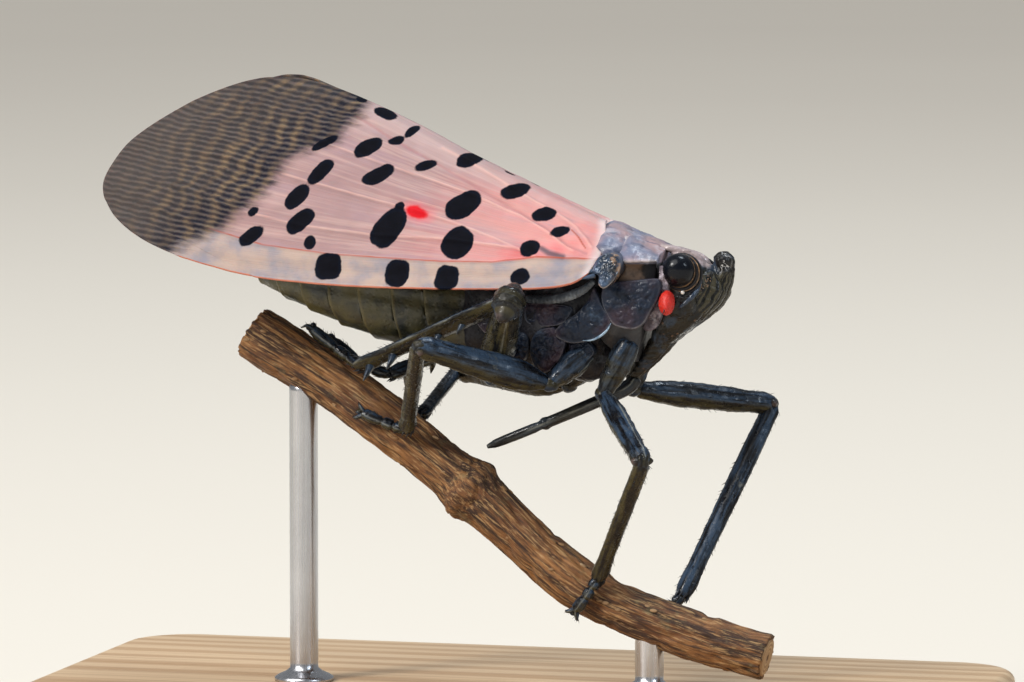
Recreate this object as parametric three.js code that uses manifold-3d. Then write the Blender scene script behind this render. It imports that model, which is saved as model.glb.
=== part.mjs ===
// Spotted lanternfly, a female at life size, standing on a cut length of vine held by a plain stand.
// Millimetres, +Z up and +X towards the head. The insect is symmetrical about the plane Y = 0, apart
// from its legs, and its right side faces -Y. The origin is the centre of the base's underside.
import * as THREE from 'three';
import { mergeVertices } from 'three/addons/utils/BufferGeometryUtils.js';
import Module from 'manifold-3d';

const wasm = await Module();
wasm.setup();

// Driving sizes
const gap = 0.28; // between neighbouring pieces
const wingThickness = 0.5;
const veinHeight = 0.16;
const base = { length: 40, width: 26, height: 5.8, corner: 3, bevel: 0.5 };
const rod = { radius: 0.6, front: 6.4, rear: -8.6 };
const perchRadius = { rear: 1.12, front: 0.95 };
const eye = { radius: 0.72, at: [8.1, 1.8, 23.62], depth: 0.62 };
const antenna = { at: [7.67, 2.26, 22.3], length: 0.58, radius: 0.4, bristle: 1.3 };
const headTop = 24.05;
const claw = { length: 0.58, root: 0.15, tip: 0.06 };

const right = -1;
const left = 1;
const sideName = { [right]: 'right', [left]: 'left' };
const point = (x, y, z) => new THREE.Vector3(x, y, z);

// Meshes and solids

// A closed mesh, its faces turned to point outwards.
function closedMesh(points, faces) {
  let volume = 0;
  const product = new THREE.Vector3();
  for (const [a, b, c] of faces) {
    volume += points[a].dot(product.crossVectors(points[b], points[c]));
  }
  const turned = volume < 0 ? faces.map(([a, b, c]) => [a, c, b]) : faces;
  return new THREE.BufferGeometry().setFromPoints(points).setIndex(turned.flat());
}

// A body through rings of equally many points. A ring of one point is a tip, and an open end is closed by a fan.
function loft(rings) {
  const points = [];
  const faces = [];
  const starts = rings.map((ring) => points.push(...ring) - ring.length);
  for (let r = 0; r + 1 < rings.length; r++) {
    const [near, far] = [rings[r].length, rings[r + 1].length];
    const [a, b] = [starts[r], starts[r + 1]];
    for (let i = 0; i < Math.max(near, far); i++) {
      const j = i + 1;
      if (near > 1) faces.push([a + i, a + (j % near), b + (i % far)]);
      if (far > 1) faces.push([a + (j % near), b + (j % far), b + (i % far)]);
    }
  }
  for (const [ring, start, reverse] of [
    [rings[0], starts[0], true],
    [rings.at(-1), starts.at(-1), false],
  ]) {
    if (ring.length === 1) continue;
    const middle = ring.reduce((sum, p) => sum.add(p), point(0, 0, 0)).divideScalar(ring.length);
    const centre = points.push(middle) - 1;
    ring.forEach((_, i) => {
      const j = (i + 1) % ring.length;
      faces.push(reverse ? [start + j, start + i, centre] : [start + i, start + j, centre]);
    });
  }
  return closedMesh(points, faces);
}

function solid(geometry) {
  const bare = geometry.clone();
  bare.deleteAttribute('normal');
  bare.deleteAttribute('uv');
  const merged = mergeVertices(bare, 1e-4);
  return new wasm.Manifold(
    new wasm.Mesh({
      numProp: 3,
      vertProperties: merged.attributes.position.array,
      triVerts: new Uint32Array(merged.index.array),
    }),
  );
}

// The largest closed surface of a solid, as a geometry.
function geometryOf(made) {
  const pieces = made.decompose().sort((a, b) => b.volume() - a.volume());
  const mesh = pieces[0].getMesh();
  const geometry = new THREE.BufferGeometry();
  geometry.setAttribute('position', new THREE.BufferAttribute(new Float32Array(mesh.vertProperties), 3));
  return geometry.setIndex(new THREE.BufferAttribute(new Uint32Array(mesh.triVerts), 1));
}

const join = (...geometries) => geometryOf(geometries.map(solid).reduce((a, b) => a.add(b)));
const cut = (geometry, ...tools) =>
  geometryOf(tools.map(solid).reduce((a, b) => a.subtract(b), solid(geometry)));

// The same piece on the other side of the plane Y = 0.
function mirrored(geometry) {
  const copy = geometry.clone().scale(1, -1, 1);
  const index = copy.index.array;
  for (let i = 0; i < index.length; i += 3) [index[i + 1], index[i + 2]] = [index[i + 2], index[i + 1]];
  return copy;
}

const onSide = (side, geometry) => (side === right ? geometry : mirrored(geometry));

// Rows of [position, value, value, ...], joined by smooth curves and read at any position.
function smooth(rows, at) {
  const last = rows.length - 1;
  let k = 0;
  while (k < last - 1 && at > rows[k + 1][0]) k++;
  const slope = (i, c) => {
    const [p, q] = [rows[Math.max(i - 1, 0)], rows[Math.min(i + 1, last)]];
    return (q[c] - p[c]) / (q[0] - p[0]);
  };
  const span = rows[k + 1][0] - rows[k][0];
  const t = THREE.MathUtils.clamp((at - rows[k][0]) / span, 0, 1);
  return rows[k].slice(1).map((value, i) => {
    const [c, next] = [i + 1, rows[k + 1][i + 1]];
    const [m0, m1] = [slope(k, c) * span, slope(k + 1, c) * span];
    return (
      value * (2 * t ** 3 - 3 * t ** 2 + 1) + m0 * (t ** 3 - 2 * t ** 2 + t) +
      next * (3 * t ** 2 - 2 * t ** 3) + m1 * (t ** 3 - t ** 2)
    );
  });
}

const signedPower = (value, power) => Math.sign(value) * Math.abs(value) ** power;

// An upright oval ring across the body at x, leaning towards the head by lean for each millimetre of height.
function oval({ x, z, wide, up, down, square = 2, lean = 0, sides = 16 }) {
  return Array.from({ length: sides }, (_, i) => {
    const angle = (2 * Math.PI * i) / sides;
    const rise = signedPower(Math.cos(angle), 2 / square);
    const height = rise > 0 ? rise * up : rise * down;
    return point(x + height * lean, wide * signedPower(Math.sin(angle), 2 / square), z + height);
  });
}

// A ring across the body from half of its outline, listed as [y, z] from the top to the bottom.
function outlineRing(x, half, lean, leanFrom) {
  const near = half.map(([y, z]) => point(x + (z - leanFrom) * lean, y, z));
  const far = half.slice(1, -1).reverse().map(([y, z]) => point(x + (z - leanFrom) * lean, -y, z));
  return [...near, ...far];
}

// A limb along a curve. Each station is [share of the length, half width, half depth], widths are measured
// along the direction "across", and a fluted limb has every other side pulled in. Grow makes it larger all round.
function limb({ path, stations, across, sides = 8, flute = 0, grow = 0 }) {
  const steps = stations.length;
  const rings = stations.map(([share, wide, deep], s) => {
    const tangent = path.getTangentAt(share);
    const side = across.clone().addScaledVector(tangent, -across.dot(tangent)).normalize();
    const depth = new THREE.Vector3().crossVectors(tangent, side);
    const centre = path.getPointAt(share);
    if (s === 0) centre.addScaledVector(tangent, -grow);
    if (s === steps - 1) centre.addScaledVector(tangent, grow);
    return Array.from({ length: sides }, (_, i) => {
      const angle = (2 * Math.PI * (i + 0.5)) / sides;
      const pull = i % 2 ? 1 - flute : 1;
      return centre.clone()
        .addScaledVector(side, Math.cos(angle) * (wide * pull + grow))
        .addScaledVector(depth, Math.sin(angle) * (deep * pull + grow));
    });
  });
  return loft(rings);
}

const straight = (from, to) => new THREE.LineCurve3(from, to);

function ellipsoid(centre, radii, around = 16, rings = 10) {
  return new THREE.SphereGeometry(1, around, rings).scale(...radii).translate(...centre);
}

function cone(from, to, root, tip, sides = 6) {
  const path = straight(from, to);
  const across = Math.abs(path.getTangentAt(0).y) < 0.9 ? point(0, 1, 0) : point(1, 0, 0);
  return limb({ path, across, sides, stations: [[0, root, root], [1, tip, tip]] });
}

// Trunk of the body

// The hind thorax, a closed barrel between the pronotum and the abdomen.
function pterothorax(grow = 0) {
  const rows = [
    [-0.75, 21.85, 2.3, 2.1, 2.4],
    [1.0, 22.0, 2.6, 2.3, 2.8],
    [2.9, 22.2, 2.62, 2.3, 2.85],
    [4.55, 22.3, 2.35, 2.25, 2.55],
  ];
  const stations = [4.55 + grow, 3.7, 2.7, 1.6, 0.5, -0.75 - grow];
  return loft(stations.map((x) => {
    const [z, wide, up, down] = smooth(rows, x);
    return oval({ x, z, wide: wide + grow, up: up + grow, down: down + grow, square: 2.3 });
  }));
}

// The shield between the wing bases, behind the pronotum's hollow rear edge.
function mesonotum(grow = 0) {
  const rows = [
    [2.9, 24.7, 0.55, 0.5], [3.7, 25.02, 1.2, 0.62], [4.4, 25.22, 1.85, 0.72],
    [5.1, 25.1, 2.05, 0.74], [5.8, 24.8, 1.35, 0.68], [6.3, 24.5, 0.6, 0.55],
  ];
  const thickness = 0.62;
  return loft([2.9 - grow, 3.4, 3.9, 4.4, 4.8, 5.2, 5.8, 6.3 + grow].map((x) => {
    const [top, wide, drop] = smooth(rows, x);
    const half = [0, 0.4, 0.8, 1].map((share) => [
      (wide + grow) * share, top + grow - drop * (wide / 2) * share ** 2,
    ]);
    const under = [1, 0.6, 0].map((share) => [
      (wide + grow) * share, top - thickness - grow - drop * (wide / 2) * share ** 2,
    ]);
    return outlineRing(x, [...half, ...under], 0, 0);
  }));
}

// The front thorax: its arched back with a keel along each side, and a plate hanging over each flank.
function prothorax(grow = 0) {
  // [x at the middle height, top, half width of the back, half width of the flank, bottom]
  const rows = [
    [4.98, 25.3, 2.1, 2.35, 20.6],
    [5.6, 24.98, 2.2, 2.4, 20.2],
    [6.3, 24.74, 2.0, 2.2, 19.9],
    [6.66, 24.54, 1.75, 1.9, 19.75],
  ];
  const lean = 0.26;
  const middle = 22.3;
  return loft([4.98 - grow, 5.5, 6.1, 6.66 + grow].map((x) => {
    const [top, back, flank, bottom] = smooth(rows, x);
    const half = [
      [0, top + grow], [back * 0.5, top - 0.12 + grow], [back + grow, top - 0.62],
      [flank - 0.1 + grow, top - 1.15], [flank + grow, 22.2], [flank - 0.25 + grow, 21.1],
      [1.2 + grow, bottom + 0.1 - grow], [0, bottom - grow],
    ];
    return outlineRing(x, half, lean, middle);
  }));
}

// The plate over a flank of the front thorax.
function flankPlate(side) {
  const outline = [
    [5.02, 23.0], [6.2, 23.22], [7.12, 23.16], [6.96, 22.6], [6.8, 21.7], [6.35, 21.0], [5.5, 20.9], [5.0, 21.7],
  ];
  const inner = 1.9;
  const ring = (y, shrink) => outline.map(([x, z]) =>
    point(6.15 + (x - 6.15) * shrink, side * y, 22.1 + (z - 22.1) * shrink));
  return loft([ring(inner, 1), ring(2.5, 1), ring(2.72, 0.9), ring(2.8, 0.6)]);
}

// The belly: seven rings that flare to the rear and slip over one another.
function abdomen(grow = 0) {
  const rows = [
    [-10.45, 23.5, 0.95, 0.85, 0.8], [-9.2, 23.3, 1.6, 1.3, 1.3], [-7.6, 22.95, 2.1, 1.75, 1.65],
    [-5.8, 22.55, 2.4, 2.0, 1.95], [-4.0, 22.2, 2.5, 2.15, 2.15], [-2.4, 21.95, 2.4, 2.1, 2.35],
    [-1.05, 21.85, 2.2, 2.05, 2.3],
  ];
  const joints = [-1.3, -2.6, -4.0, -5.5, -6.9, -8.2, -9.4, -10.45];
  const flare = 0.13;
  const rings = [];
  for (let k = 0; k + 1 < joints.length; k++) {
    const [front, rear] = [joints[k], joints[k + 1]];
    for (const [share, swell] of [[0.02, 0], [0.55, 0.6], [0.98, 1]]) {
      const x = front + (rear - front) * share;
      const [z, wide, up, down] = smooth(rows, x);
      const extra = swell * flare + grow;
      rings.push(oval({ x, z, wide: wide + extra, up: up + extra, down: down + extra, square: 2.2, lean: -0.12 }));
    }
  }
  return loft(rings);
}

// The egg-laying valves: two blunt lips behind the last ring.
function ovipositor() {
  const rings = [[-10.72, 0.62, 0.6], [-11.2, 0.72, 0.66], [-11.7, 0.55, 0.5], [-12.0, 0.28, 0.26]].map(
    ([x, wide, high]) => oval({ x, z: 23.62 + 0.12 * (-10.7 - x), wide, up: high, down: high, square: 2.4, sides: 12 }),
  );
  const notch = new THREE.BoxGeometry(1.4, 0.16, 1.6).translate(-12.1, 0, 23.8);
  return cut(loft(rings), notch);
}

// Head

// A level slice through the head from its rear wall to its face.
function headSlice([z, rear, front, rearWide, frontWide]) {
  const deep = front - rear;
  const half = [
    [front, 0], [front - 0.03 * deep, frontWide * 0.55], [front - 0.07 * deep, frontWide],
    [front - 0.22 * deep, frontWide * 1.1], [rear + 0.52 * deep, rearWide * 0.95], [rear + 0.18 * deep, rearWide],
    [rear, rearWide * 0.92], [rear, 0],
  ];
  const near = half.map(([x, y]) => point(x, -y, z));
  const far = half.slice(1, -1).reverse().map(([x, y]) => point(x, y, z));
  return [...near, ...far];
}

// [height, rear, front, half width at the rear, half width of the face]
const headRows = [
  [20.85, 6.72, 7.86, 1.25, 0.98],
  [21.4, 6.88, 8.5, 1.5, 1.12],
  [22.0, 7.04, 9.02, 1.66, 1.2],
  [22.7, 7.2, 9.42, 1.72, 1.18],
  [23.3, 7.3, 9.6, 1.72, 1.08],
  [23.8, 7.34, 9.5, 1.62, 0.98],
  [headTop, 7.42, 9.1, 1.4, 0.85],
  [headTop + 0.24, 7.48, 8.15, 0.95, 0.6],
];

// The upturned knob on top of the face.
const snout = () => loft([
  oval({ x: 9.0, z: 23.2, wide: 0.7, up: 0.6, down: 0.6, square: 2.2, sides: 12, lean: -0.4 }),
  oval({ x: 9.3, z: 23.55, wide: 0.72, up: 0.55, down: 0.55, square: 2.2, sides: 12, lean: -0.9 }),
  oval({ x: 9.47, z: 23.95, wide: 0.62, up: 0.3, down: 0.42, square: 2.2, sides: 12, lean: -1.2 }),
  oval({ x: 9.4, z: 24.2, wide: 0.4, up: 0.12, down: 0.26, square: 2.2, sides: 12, lean: -1.4 }),
]);

// Two upright keels and two side keels on the face.
function faceKeels() {
  const rows = headRows.slice(0, 5);
  return [-0.95, -0.38, 0.38, 0.95].map((share) => {
    const path = new THREE.CatmullRomCurve3(rows.map(([z, , front, , wide]) =>
      point(front - 0.09 * share ** 2 - 0.06, share * wide, z)));
    return limb({
      path, across: point(0, 1, 0), sides: 6,
      stations: [0.02, 0.25, 0.5, 0.75, 0.98].map((share) => [share, 0.09, 0.13]),
    });
  });
}

const eyeBall = (side, grow = 0) => ellipsoid(
  [eye.at[0], side * eye.at[1], eye.at[2]], [eye.radius + grow, eye.depth + grow, eye.radius + grow], 18, 12,
);

function head() {
  const skull = loft(headRows.map((row) => headSlice(row)));
  const pits = [right, left].flatMap((side) => [eyeBall(side, gap), antennaStalk(side, gap)]);
  return cut(join(skull, snout(), ...faceKeels()), ...pits);
}

// The lower face, tapering to the root of the beak.
const clypeus = () => loft([
  [20.85 - gap, 6.64, 7.62, 1.0, 0.86],
  [20.1, 6.4, 7.1, 0.8, 0.72],
  [19.6, 6.1, 6.62, 0.58, 0.5],
  [19.15, 5.72, 6.1, 0.36, 0.28],
].map((row) => headSlice(row)));

// The beak, jointed in three, lying back and down between the legs.
function beak() {
  const path = new THREE.CatmullRomCurve3([
    point(5.62, 0, 18.72), point(5.15, 0, 18.42), point(3.9, 0, 17.85), point(1.6, 0, 16.85), point(-0.55, 0, 15.95),
  ]);
  return limb({
    path, across: point(0, 1, 0), sides: 8, flute: 0.1,
    stations: [
      [0, 0.26, 0.26], [0.1, 0.3, 0.3], [0.22, 0.27, 0.27], [0.24, 0.25, 0.25], [0.6, 0.25, 0.25],
      [0.62, 0.28, 0.28], [0.64, 0.24, 0.24], [0.93, 0.22, 0.22], [1, 0.12, 0.12],
    ],
  });
}

// The stalk of an antenna, or the pit it stands in.
function antennaStalk(side, grow = 0) {
  const centre = point(antenna.at[0], side * antenna.at[1], antenna.at[2]);
  const foot = centre.clone().addScaledVector(antennaLean(side), -0.42 - grow);
  return cone(foot, centre, 0.26 + grow, 0.26 + grow, 8);
}

const antennaLean = (side) => new THREE.Vector3(0.12, side * 0.9, -0.42).normalize();

// An antenna: a short stalk, an egg-shaped bulb and a bristle from its tip.
function feeler(side) {
  const [x, y, z] = antenna.at;
  const bulb = new THREE.SphereGeometry(1, 14, 10).scale(antenna.radius, antenna.length, antenna.radius * 0.95);
  bulb.rotateX(side * THREE.MathUtils.degToRad(62)).translate(x, side * y, z);
  const tip = point(x, side * y, z).addScaledVector(antennaLean(side), 0.3);
  const along = new THREE.Vector3(0.55, side * 0.7, -0.45).normalize();
  return join(bulb, antennaStalk(side), cone(tip, tip.clone().addScaledVector(along, antenna.bristle), 0.14, 0.04));
}

// Wings

const flat = (rows) => new THREE.SplineCurve(rows.map(([x, z]) => new THREE.Vector2(x, z)));

// The four margins of a forewing, seen from the side.
const wingMargins = {
  costal: flat([
    [4.55, 23.35], [3.97, 22.98], [2.76, 22.8], [0.3, 22.76], [-3.8, 22.82], [-6.6, 22.97], [-9.5, 23.3],
    [-12.1, 23.98],
  ]),
  ridge: flat([[4.6, 25.45], [2.77, 26.28], [-0.75, 27.95], [-3.34, 29.26], [-5.73, 30.32], [-7.5, 31.0]]),
  root: flat([[4.55, 23.35], [4.9, 24.4], [4.6, 25.45]]),
  apex: flat([
    [-12.1, 23.98], [-13.8, 24.72], [-15.1, 25.7], [-15.65, 26.8], [-15.3, 27.9], [-14.4, 29.0], [-12.2, 30.42],
    [-9.9, 31.18], [-7.5, 31.0],
  ]),
};

// Height of the roof's ridge above x, and how fast the roof spreads below it.
const ridgeHeight = (x) => 25.71 + 0.47 * (4.39 - x);
const roofSpread = (x) => 0.55 + 0.5 * Math.exp((x - 4.8) / 4);
const ridgeOffset = 0.42;
const roofBulge = 1.8;
const roofDepth = 8.8;

// A point of the right forewing's middle surface above the flat position (x, z).
function onRoof(x, z) {
  const drop = Math.max(0, ridgeHeight(x) - z);
  const share = Math.min(1, drop / roofDepth);
  return point(x, -(ridgeOffset + roofSpread(x) * drop + roofBulge * share * (1 - share)), z);
}

// A point between the four margins: along runs from root to apex, over from the costal margin to the ridge.
function wingPoint(along, over) {
  const { costal, ridge, root, apex } = wingMargins;
  const at = (curve, t) => {
    const inside = THREE.MathUtils.clamp(t, 0, 1);
    const beyond = (t - inside) * curve.getLength();
    return curve.getPointAt(inside).addScaledVector(curve.getTangentAt(inside), beyond);
  };
  const sum = new THREE.Vector2();
  sum.addScaledVector(at(costal, along), 1 - over).addScaledVector(at(ridge, along), over);
  sum.addScaledVector(at(root, over), 1 - along).addScaledVector(at(apex, over), along);
  sum.addScaledVector(at(root, 0), -(1 - along) * (1 - over)).addScaledVector(at(root, 1), -(1 - along) * over);
  sum.addScaledVector(at(apex, 0), -along * (1 - over)).addScaledVector(at(apex, 1), -along * over);
  return onRoof(sum.x, sum.y);
}

// A sheet of even thickness over a grid of points, with its outer face raised where lift says so. Both faces
// are split into triangles alike.
function sheet({ columns, rows, place, thickness, lift = () => 0, shift = 0 }) {
  const step = 1e-3;
  const outer = [];
  const inner = [];
  for (const u of columns) {
    for (const v of rows) {
      const [u0, v0] = [Math.min(u, 1 - step), Math.min(v, 1 - step)];
      const origin = place(u0, v0);
      const normal = new THREE.Vector3().crossVectors(
        place(u0 + step, v0).sub(origin), place(u0, v0 + step).sub(origin),
      ).normalize();
      if (normal.y > 0) normal.negate();
      outer.push(place(u, v).addScaledVector(normal, thickness / 2 + shift + lift(u, v)));
      inner.push(place(u, v).addScaledVector(normal, -thickness / 2 + shift));
    }
  }
  const [across, count] = [rows.length, outer.length];
  const faces = [];
  for (let i = 0; i + 1 < columns.length; i++) {
    for (let j = 0; j + 1 < across; j++) {
      const [a, b] = [i * across + j, (i + 1) * across + j];
      faces.push([a, b, b + 1], [a, b + 1, a + 1]);
      faces.push([count + a, count + b + 1, count + b], [count + a, count + a + 1, count + b + 1]);
    }
  }
  const border = [];
  const last = (columns.length - 1) * across;
  for (let j = 0; j + 1 < across; j++) border.push([j, j + 1]);
  for (let i = 0; i + 1 < columns.length; i++) border.push([(i + 1) * across - 1, (i + 2) * across - 1]);
  for (let j = across - 1; j > 0; j--) border.push([last + j, last + j - 1]);
  for (let i = columns.length - 1; i > 0; i--) border.push([i * across, (i - 1) * across]);
  for (const [a, b] of border) faces.push([a, b, count + b], [a, count + b, count + a]);
  return closedMesh([...outer, ...inner], faces);
}

const evenly = (count, from = 0, to = 1) =>
  Array.from({ length: count + 1 }, (_, i) => from + ((to - from) * i) / count);

// The main veins run from root to apex at these shares of the way from the costal margin to the ridge.
const veins = [0.1, 0.25, 0.39, 0.53, 0.67, 0.83];
const veinFoot = 0.02;

function forewing(grow = 0) {
  if (grow) {
    return sheet({
      columns: evenly(16, -0.02, 1), rows: evenly(10, -0.12, 1), place: wingPoint,
      thickness: wingThickness + 2 * (grow + veinHeight / 2),
    });
  }
  const rows = [0, 0.05];
  veins.forEach((vein, k) => {
    rows.push(vein - veinFoot, vein, vein + veinFoot, (vein + (veins[k + 1] ?? 1)) / 2);
  });
  rows.push(1);
  const lift = (along, over) => {
    const crest = veins.some((vein) => Math.abs(vein - over) < 1e-6);
    return crest ? veinHeight * Math.min(1, along * 5) * Math.min(1, (1 - along) * 6) : 0;
  };
  return sheet({ columns: evenly(20), rows, place: wingPoint, thickness: wingThickness, lift });
}

// A hindwing folded like a fan under its forewing: a pleated sheet inside the roof.
const pleats = 6;
const hindwingInset = 1.12;

function hindwing() {
  const pleatDepth = 0.17;
  const place = (along, over) => {
    const x = 1.6 - 14.6 * along + 0.9 * over * along;
    const top = ridgeHeight(x) - 2.7 - 1.4 * along ** 4;
    const low = 23.75 + 0.8 * Math.max(0, 1 - 4 * along) + 1.7 * along ** 3;
    const height = low + (top - low) * over;
    const roof = onRoof(x, Math.min(height, ridgeHeight(x) - 2.4));
    const fold = Math.cos(2 * Math.PI * pleats * over) * pleatDepth * Math.min(1, along * 3);
    return point(x, roof.y + hindwingInset * 1.12 + fold, height);
  };
  return sheet({ columns: evenly(9), rows: evenly(pleats * 2), place, thickness: wingThickness });
}

// The scale over a wing's root.
const tegula = () => cut(ellipsoid([5.05, -3.3, 23.86], [0.58, 0.44, 0.54], 14, 10), forewing(gap));

// Vine

const perchLine = new THREE.CatmullRomCurve3([
  point(-10.8, 0.1, 20.5), point(-6.55, 0, 18.0), point(-1.35, 0.15, 14.1), point(3.6, 0, 10.15),
  point(7.9, 0.1, 8.4), point(11.4, 0, 7.5),
]);
const perchNode = { at: 0.44, swell: 0.3, reach: 0.022 };

// Radius of the vine at a share of its length: a slow taper, a swollen node and faint lumps.
function perchRadiusAt(share) {
  const taper = THREE.MathUtils.lerp(perchRadius.rear, perchRadius.front, share);
  const node = perchNode.swell * Math.exp(-(((share - perchNode.at) / perchNode.reach) ** 2));
  return taper + node + 0.03 * Math.sin(share * 31);
}

const budTip = () => perchLine.getPointAt(perchNode.at).add(point(-0.3, 1.75, -1.35));

function perch(grow = 0) {
  const stations = evenly(34).map((share) => {
    const radius = perchRadiusAt(share);
    return [share, radius, radius];
  });
  const stem = limb({ path: perchLine, stations, across: point(0, 1, 0), sides: 12, flute: 0.04, grow });
  if (grow) return stem;
  const root = perchLine.getPointAt(perchNode.at - 0.005);
  return join(stem, cone(root, budTip(), 0.62, 0.42, 8)); // the cut stub of a leaf stalk
}

// A point beside the vine: x finds it on the vine, and angle 0 is straight up from it and 90 towards the viewer's
// side, -Y. Clear is the distance from the bark.
function besideVine(x, angle, clear) {
  let [low, high] = [0, 1];
  for (let i = 0; i < 30; i++) {
    const middle = (low + high) / 2;
    if (perchLine.getPointAt(middle).x < x) low = middle;
    else high = middle;
  }
  const tangent = perchLine.getTangentAt(low);
  const side = point(0, -1, 0).addScaledVector(tangent, tangent.y).normalize();
  const up = new THREE.Vector3().crossVectors(side, tangent).normalize();
  const turn = THREE.MathUtils.degToRad(angle);
  const distance = perchRadiusAt(low) + clear;
  return perchLine.getPointAt(low)
    .addScaledVector(up, Math.cos(turn) * distance)
    .addScaledVector(side, Math.sin(turn) * distance);
}

// Legs

const tarsusRadius = 0.25;
const onBark = gap + tarsusRadius; // the axis of a foot above the bark

// Hip, end of the hip, knee, ankle, and the foot's way over the bark, for each leg. The ankle is placed beside
// the vine as [x, angle, distance from the bark], and the foot as [x, angle].
const legs = {
  foreleg_right: {
    side: right, hip: [5.75, -1.55, 20.3], turn: [4.85, -1.65, 18.45], knee: [7.62, -6.1, 16.15],
    ankle: [4.35, 62, 0.6], foot: [[4.05, 88], [3.55, 128]], femur: 'thin',
  },
  foreleg_left: {
    side: left, hip: [5.75, 1.55, 20.3], turn: [5.3, 1.65, 18.35], knee: [10.45, 5.4, 17.5],
    ankle: [7.15, -47, 0.72], foot: [[6.85, -64], [6.2, -92]], femur: 'thin',
  },
  midleg_right: {
    side: right, hip: [3.9, -1.85, 19.95], turn: [2.79, -2.55, 18.88], knee: [-1.8, -6.2, 20.68],
    ankle: [-4.1, 66, 0.62], foot: [[-4.5, 74], [-5.6, 88]], femur: 'stout',
  },
  midleg_left: {
    side: left, hip: [3.9, 1.85, 19.95], turn: [2.34, 2.3, 18.4], knee: [-3.4, 5.6, 18.6],
    ankle: [-4.3, -62, 0.62], foot: [[-4.7, -74], [-5.7, -92]], femur: 'stout',
  },
  hindleg_right: {
    side: right, hip: [0.75, -1.5, 19.7], turn: [0.15, -1.85, 19.0], knee: [1.9, -5.6, 22.6],
    ankle: [-6.6, 38, 0.88], foot: [[-7.3, 20], [-8.9, 8]], femur: 'stout', spines: 5,
  },
  hindleg_left: {
    side: left, hip: [0.75, 1.5, 19.7], turn: [0.4, 1.8, 19.0], knee: [1.2, 5.4, 21.6],
    ankle: [-5.95, -44, 0.85], foot: [[-6.6, -34], [-8.2, -26]], femur: 'stout', spines: 5,
  },
};

const femurShapes = {
  stout: [
    [0, 0.24, 0.2], [0.06, 0.34, 0.3], [0.25, 0.55, 0.38], [0.6, 0.47, 0.34], [0.88, 0.44, 0.34], [0.97, 0.4, 0.32],
    [1, 0.28, 0.26],
  ],
  thin: [
    [0, 0.24, 0.22], [0.06, 0.32, 0.3], [0.3, 0.42, 0.36], [0.7, 0.39, 0.34], [0.88, 0.41, 0.34], [0.97, 0.38, 0.32],
    [1, 0.28, 0.26],
  ],
};
const tibiaShape = [
  [0, 0.22, 0.22], [0.06, 0.33, 0.29], [0.2, 0.29, 0.26], [0.85, 0.3, 0.26], [0.96, 0.35, 0.3], [1, 0.26, 0.24],
];

// Cones along the rear edge of a hind shin, longer towards the ankle.
function shinSpines(knee, ankle, side, count) {
  const along = ankle.clone().sub(knee).normalize();
  const outward = point(0.1, side * 0.75, -0.6).normalize();
  return Array.from({ length: count }, (_, k) => {
    const share = 0.3 + (0.62 * k) / (count - 1);
    const root = knee.clone().lerp(ankle, share);
    const reach = 0.72 + 0.09 * k;
    const tip = root.clone().addScaledVector(outward, reach).addScaledVector(along, 0.34);
    return cone(root, tip, 0.25, 0.05, 5);
  });
}

// Three toe segments and two spread claws.
function foot(points, bark) {
  const path = new THREE.CatmullRomCurve3(points);
  const shape = [[0, 0.2], [0.08, 0.26], [0.3, 0.24], [0.33, 0.19], [0.36, 0.25], [0.55, 0.24], [0.58, 0.19], [0.61, 0.24], [0.93, 0.27], [1, 0.2]];
  const toes = limb({
    path, across: point(0, 1, 0), sides: 8, stations: shape.map(([share, r]) => [share, r, r]),
  });
  const end = path.getPointAt(0.95);
  const onward = path.getTangentAt(1);
  const away = end.clone().sub(bark).normalize();
  const spread = new THREE.Vector3().crossVectors(onward, away).normalize();
  const claws = [-1, 1].map((way) => {
    const tip = end.clone()
      .addScaledVector(onward, claw.length * 0.8)
      .addScaledVector(spread, way * claw.length * 0.55)
      .addScaledVector(away, -0.06);
    return cone(end, tip, claw.root, claw.tip, 6);
  });
  return join(toes, ...claws);
}

function leg(name, { side, hip, turn, knee, ankle, foot: steps, femur, spines = 0 }) {
  const [a, b, c] = [hip, turn, knee].map((p) => point(...p));
  const d = besideVine(...ankle);
  const across = point(0.1, 0, 1);
  const stations = femurShapes[femur];
  const coxaShape = [[0, 0.42, 0.5], [0.4, 0.52, 0.56], [0.85, 0.38, 0.38], [1, 0.26, 0.26]];
  const coxa = { path: straight(a, b), stations: coxaShape, across: point(1, 0, 0) };
  const thigh = { path: straight(b, c), stations, across };
  const shin = { path: straight(c, d), stations: tibiaShape, across: point(1, 0, 0.2), flute: 0.12 };
  const toes = [d, ...steps.map(([x, angle]) => besideVine(x, angle, onBark))];
  const grown = (part) => limb({ ...part, grow: gap });
  const shinBody = spines
    ? join(limb(shin), ...shinSpines(c, d, side, spines))
    : limb(shin);
  const trunk = name.startsWith('fore') ? prothorax(gap) : pterothorax(gap);
  return {
    coxa: cut(limb(coxa), trunk),
    femur: cut(limb(thigh), grown(coxa)),
    tibia: cut(shinBody, grown(thigh)),
    tarsus: cut(foot(toes, besideVine(steps.at(-1)[0], 0, -perchRadius.front)), grown(shin)),
  };
}

// Stand

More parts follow.
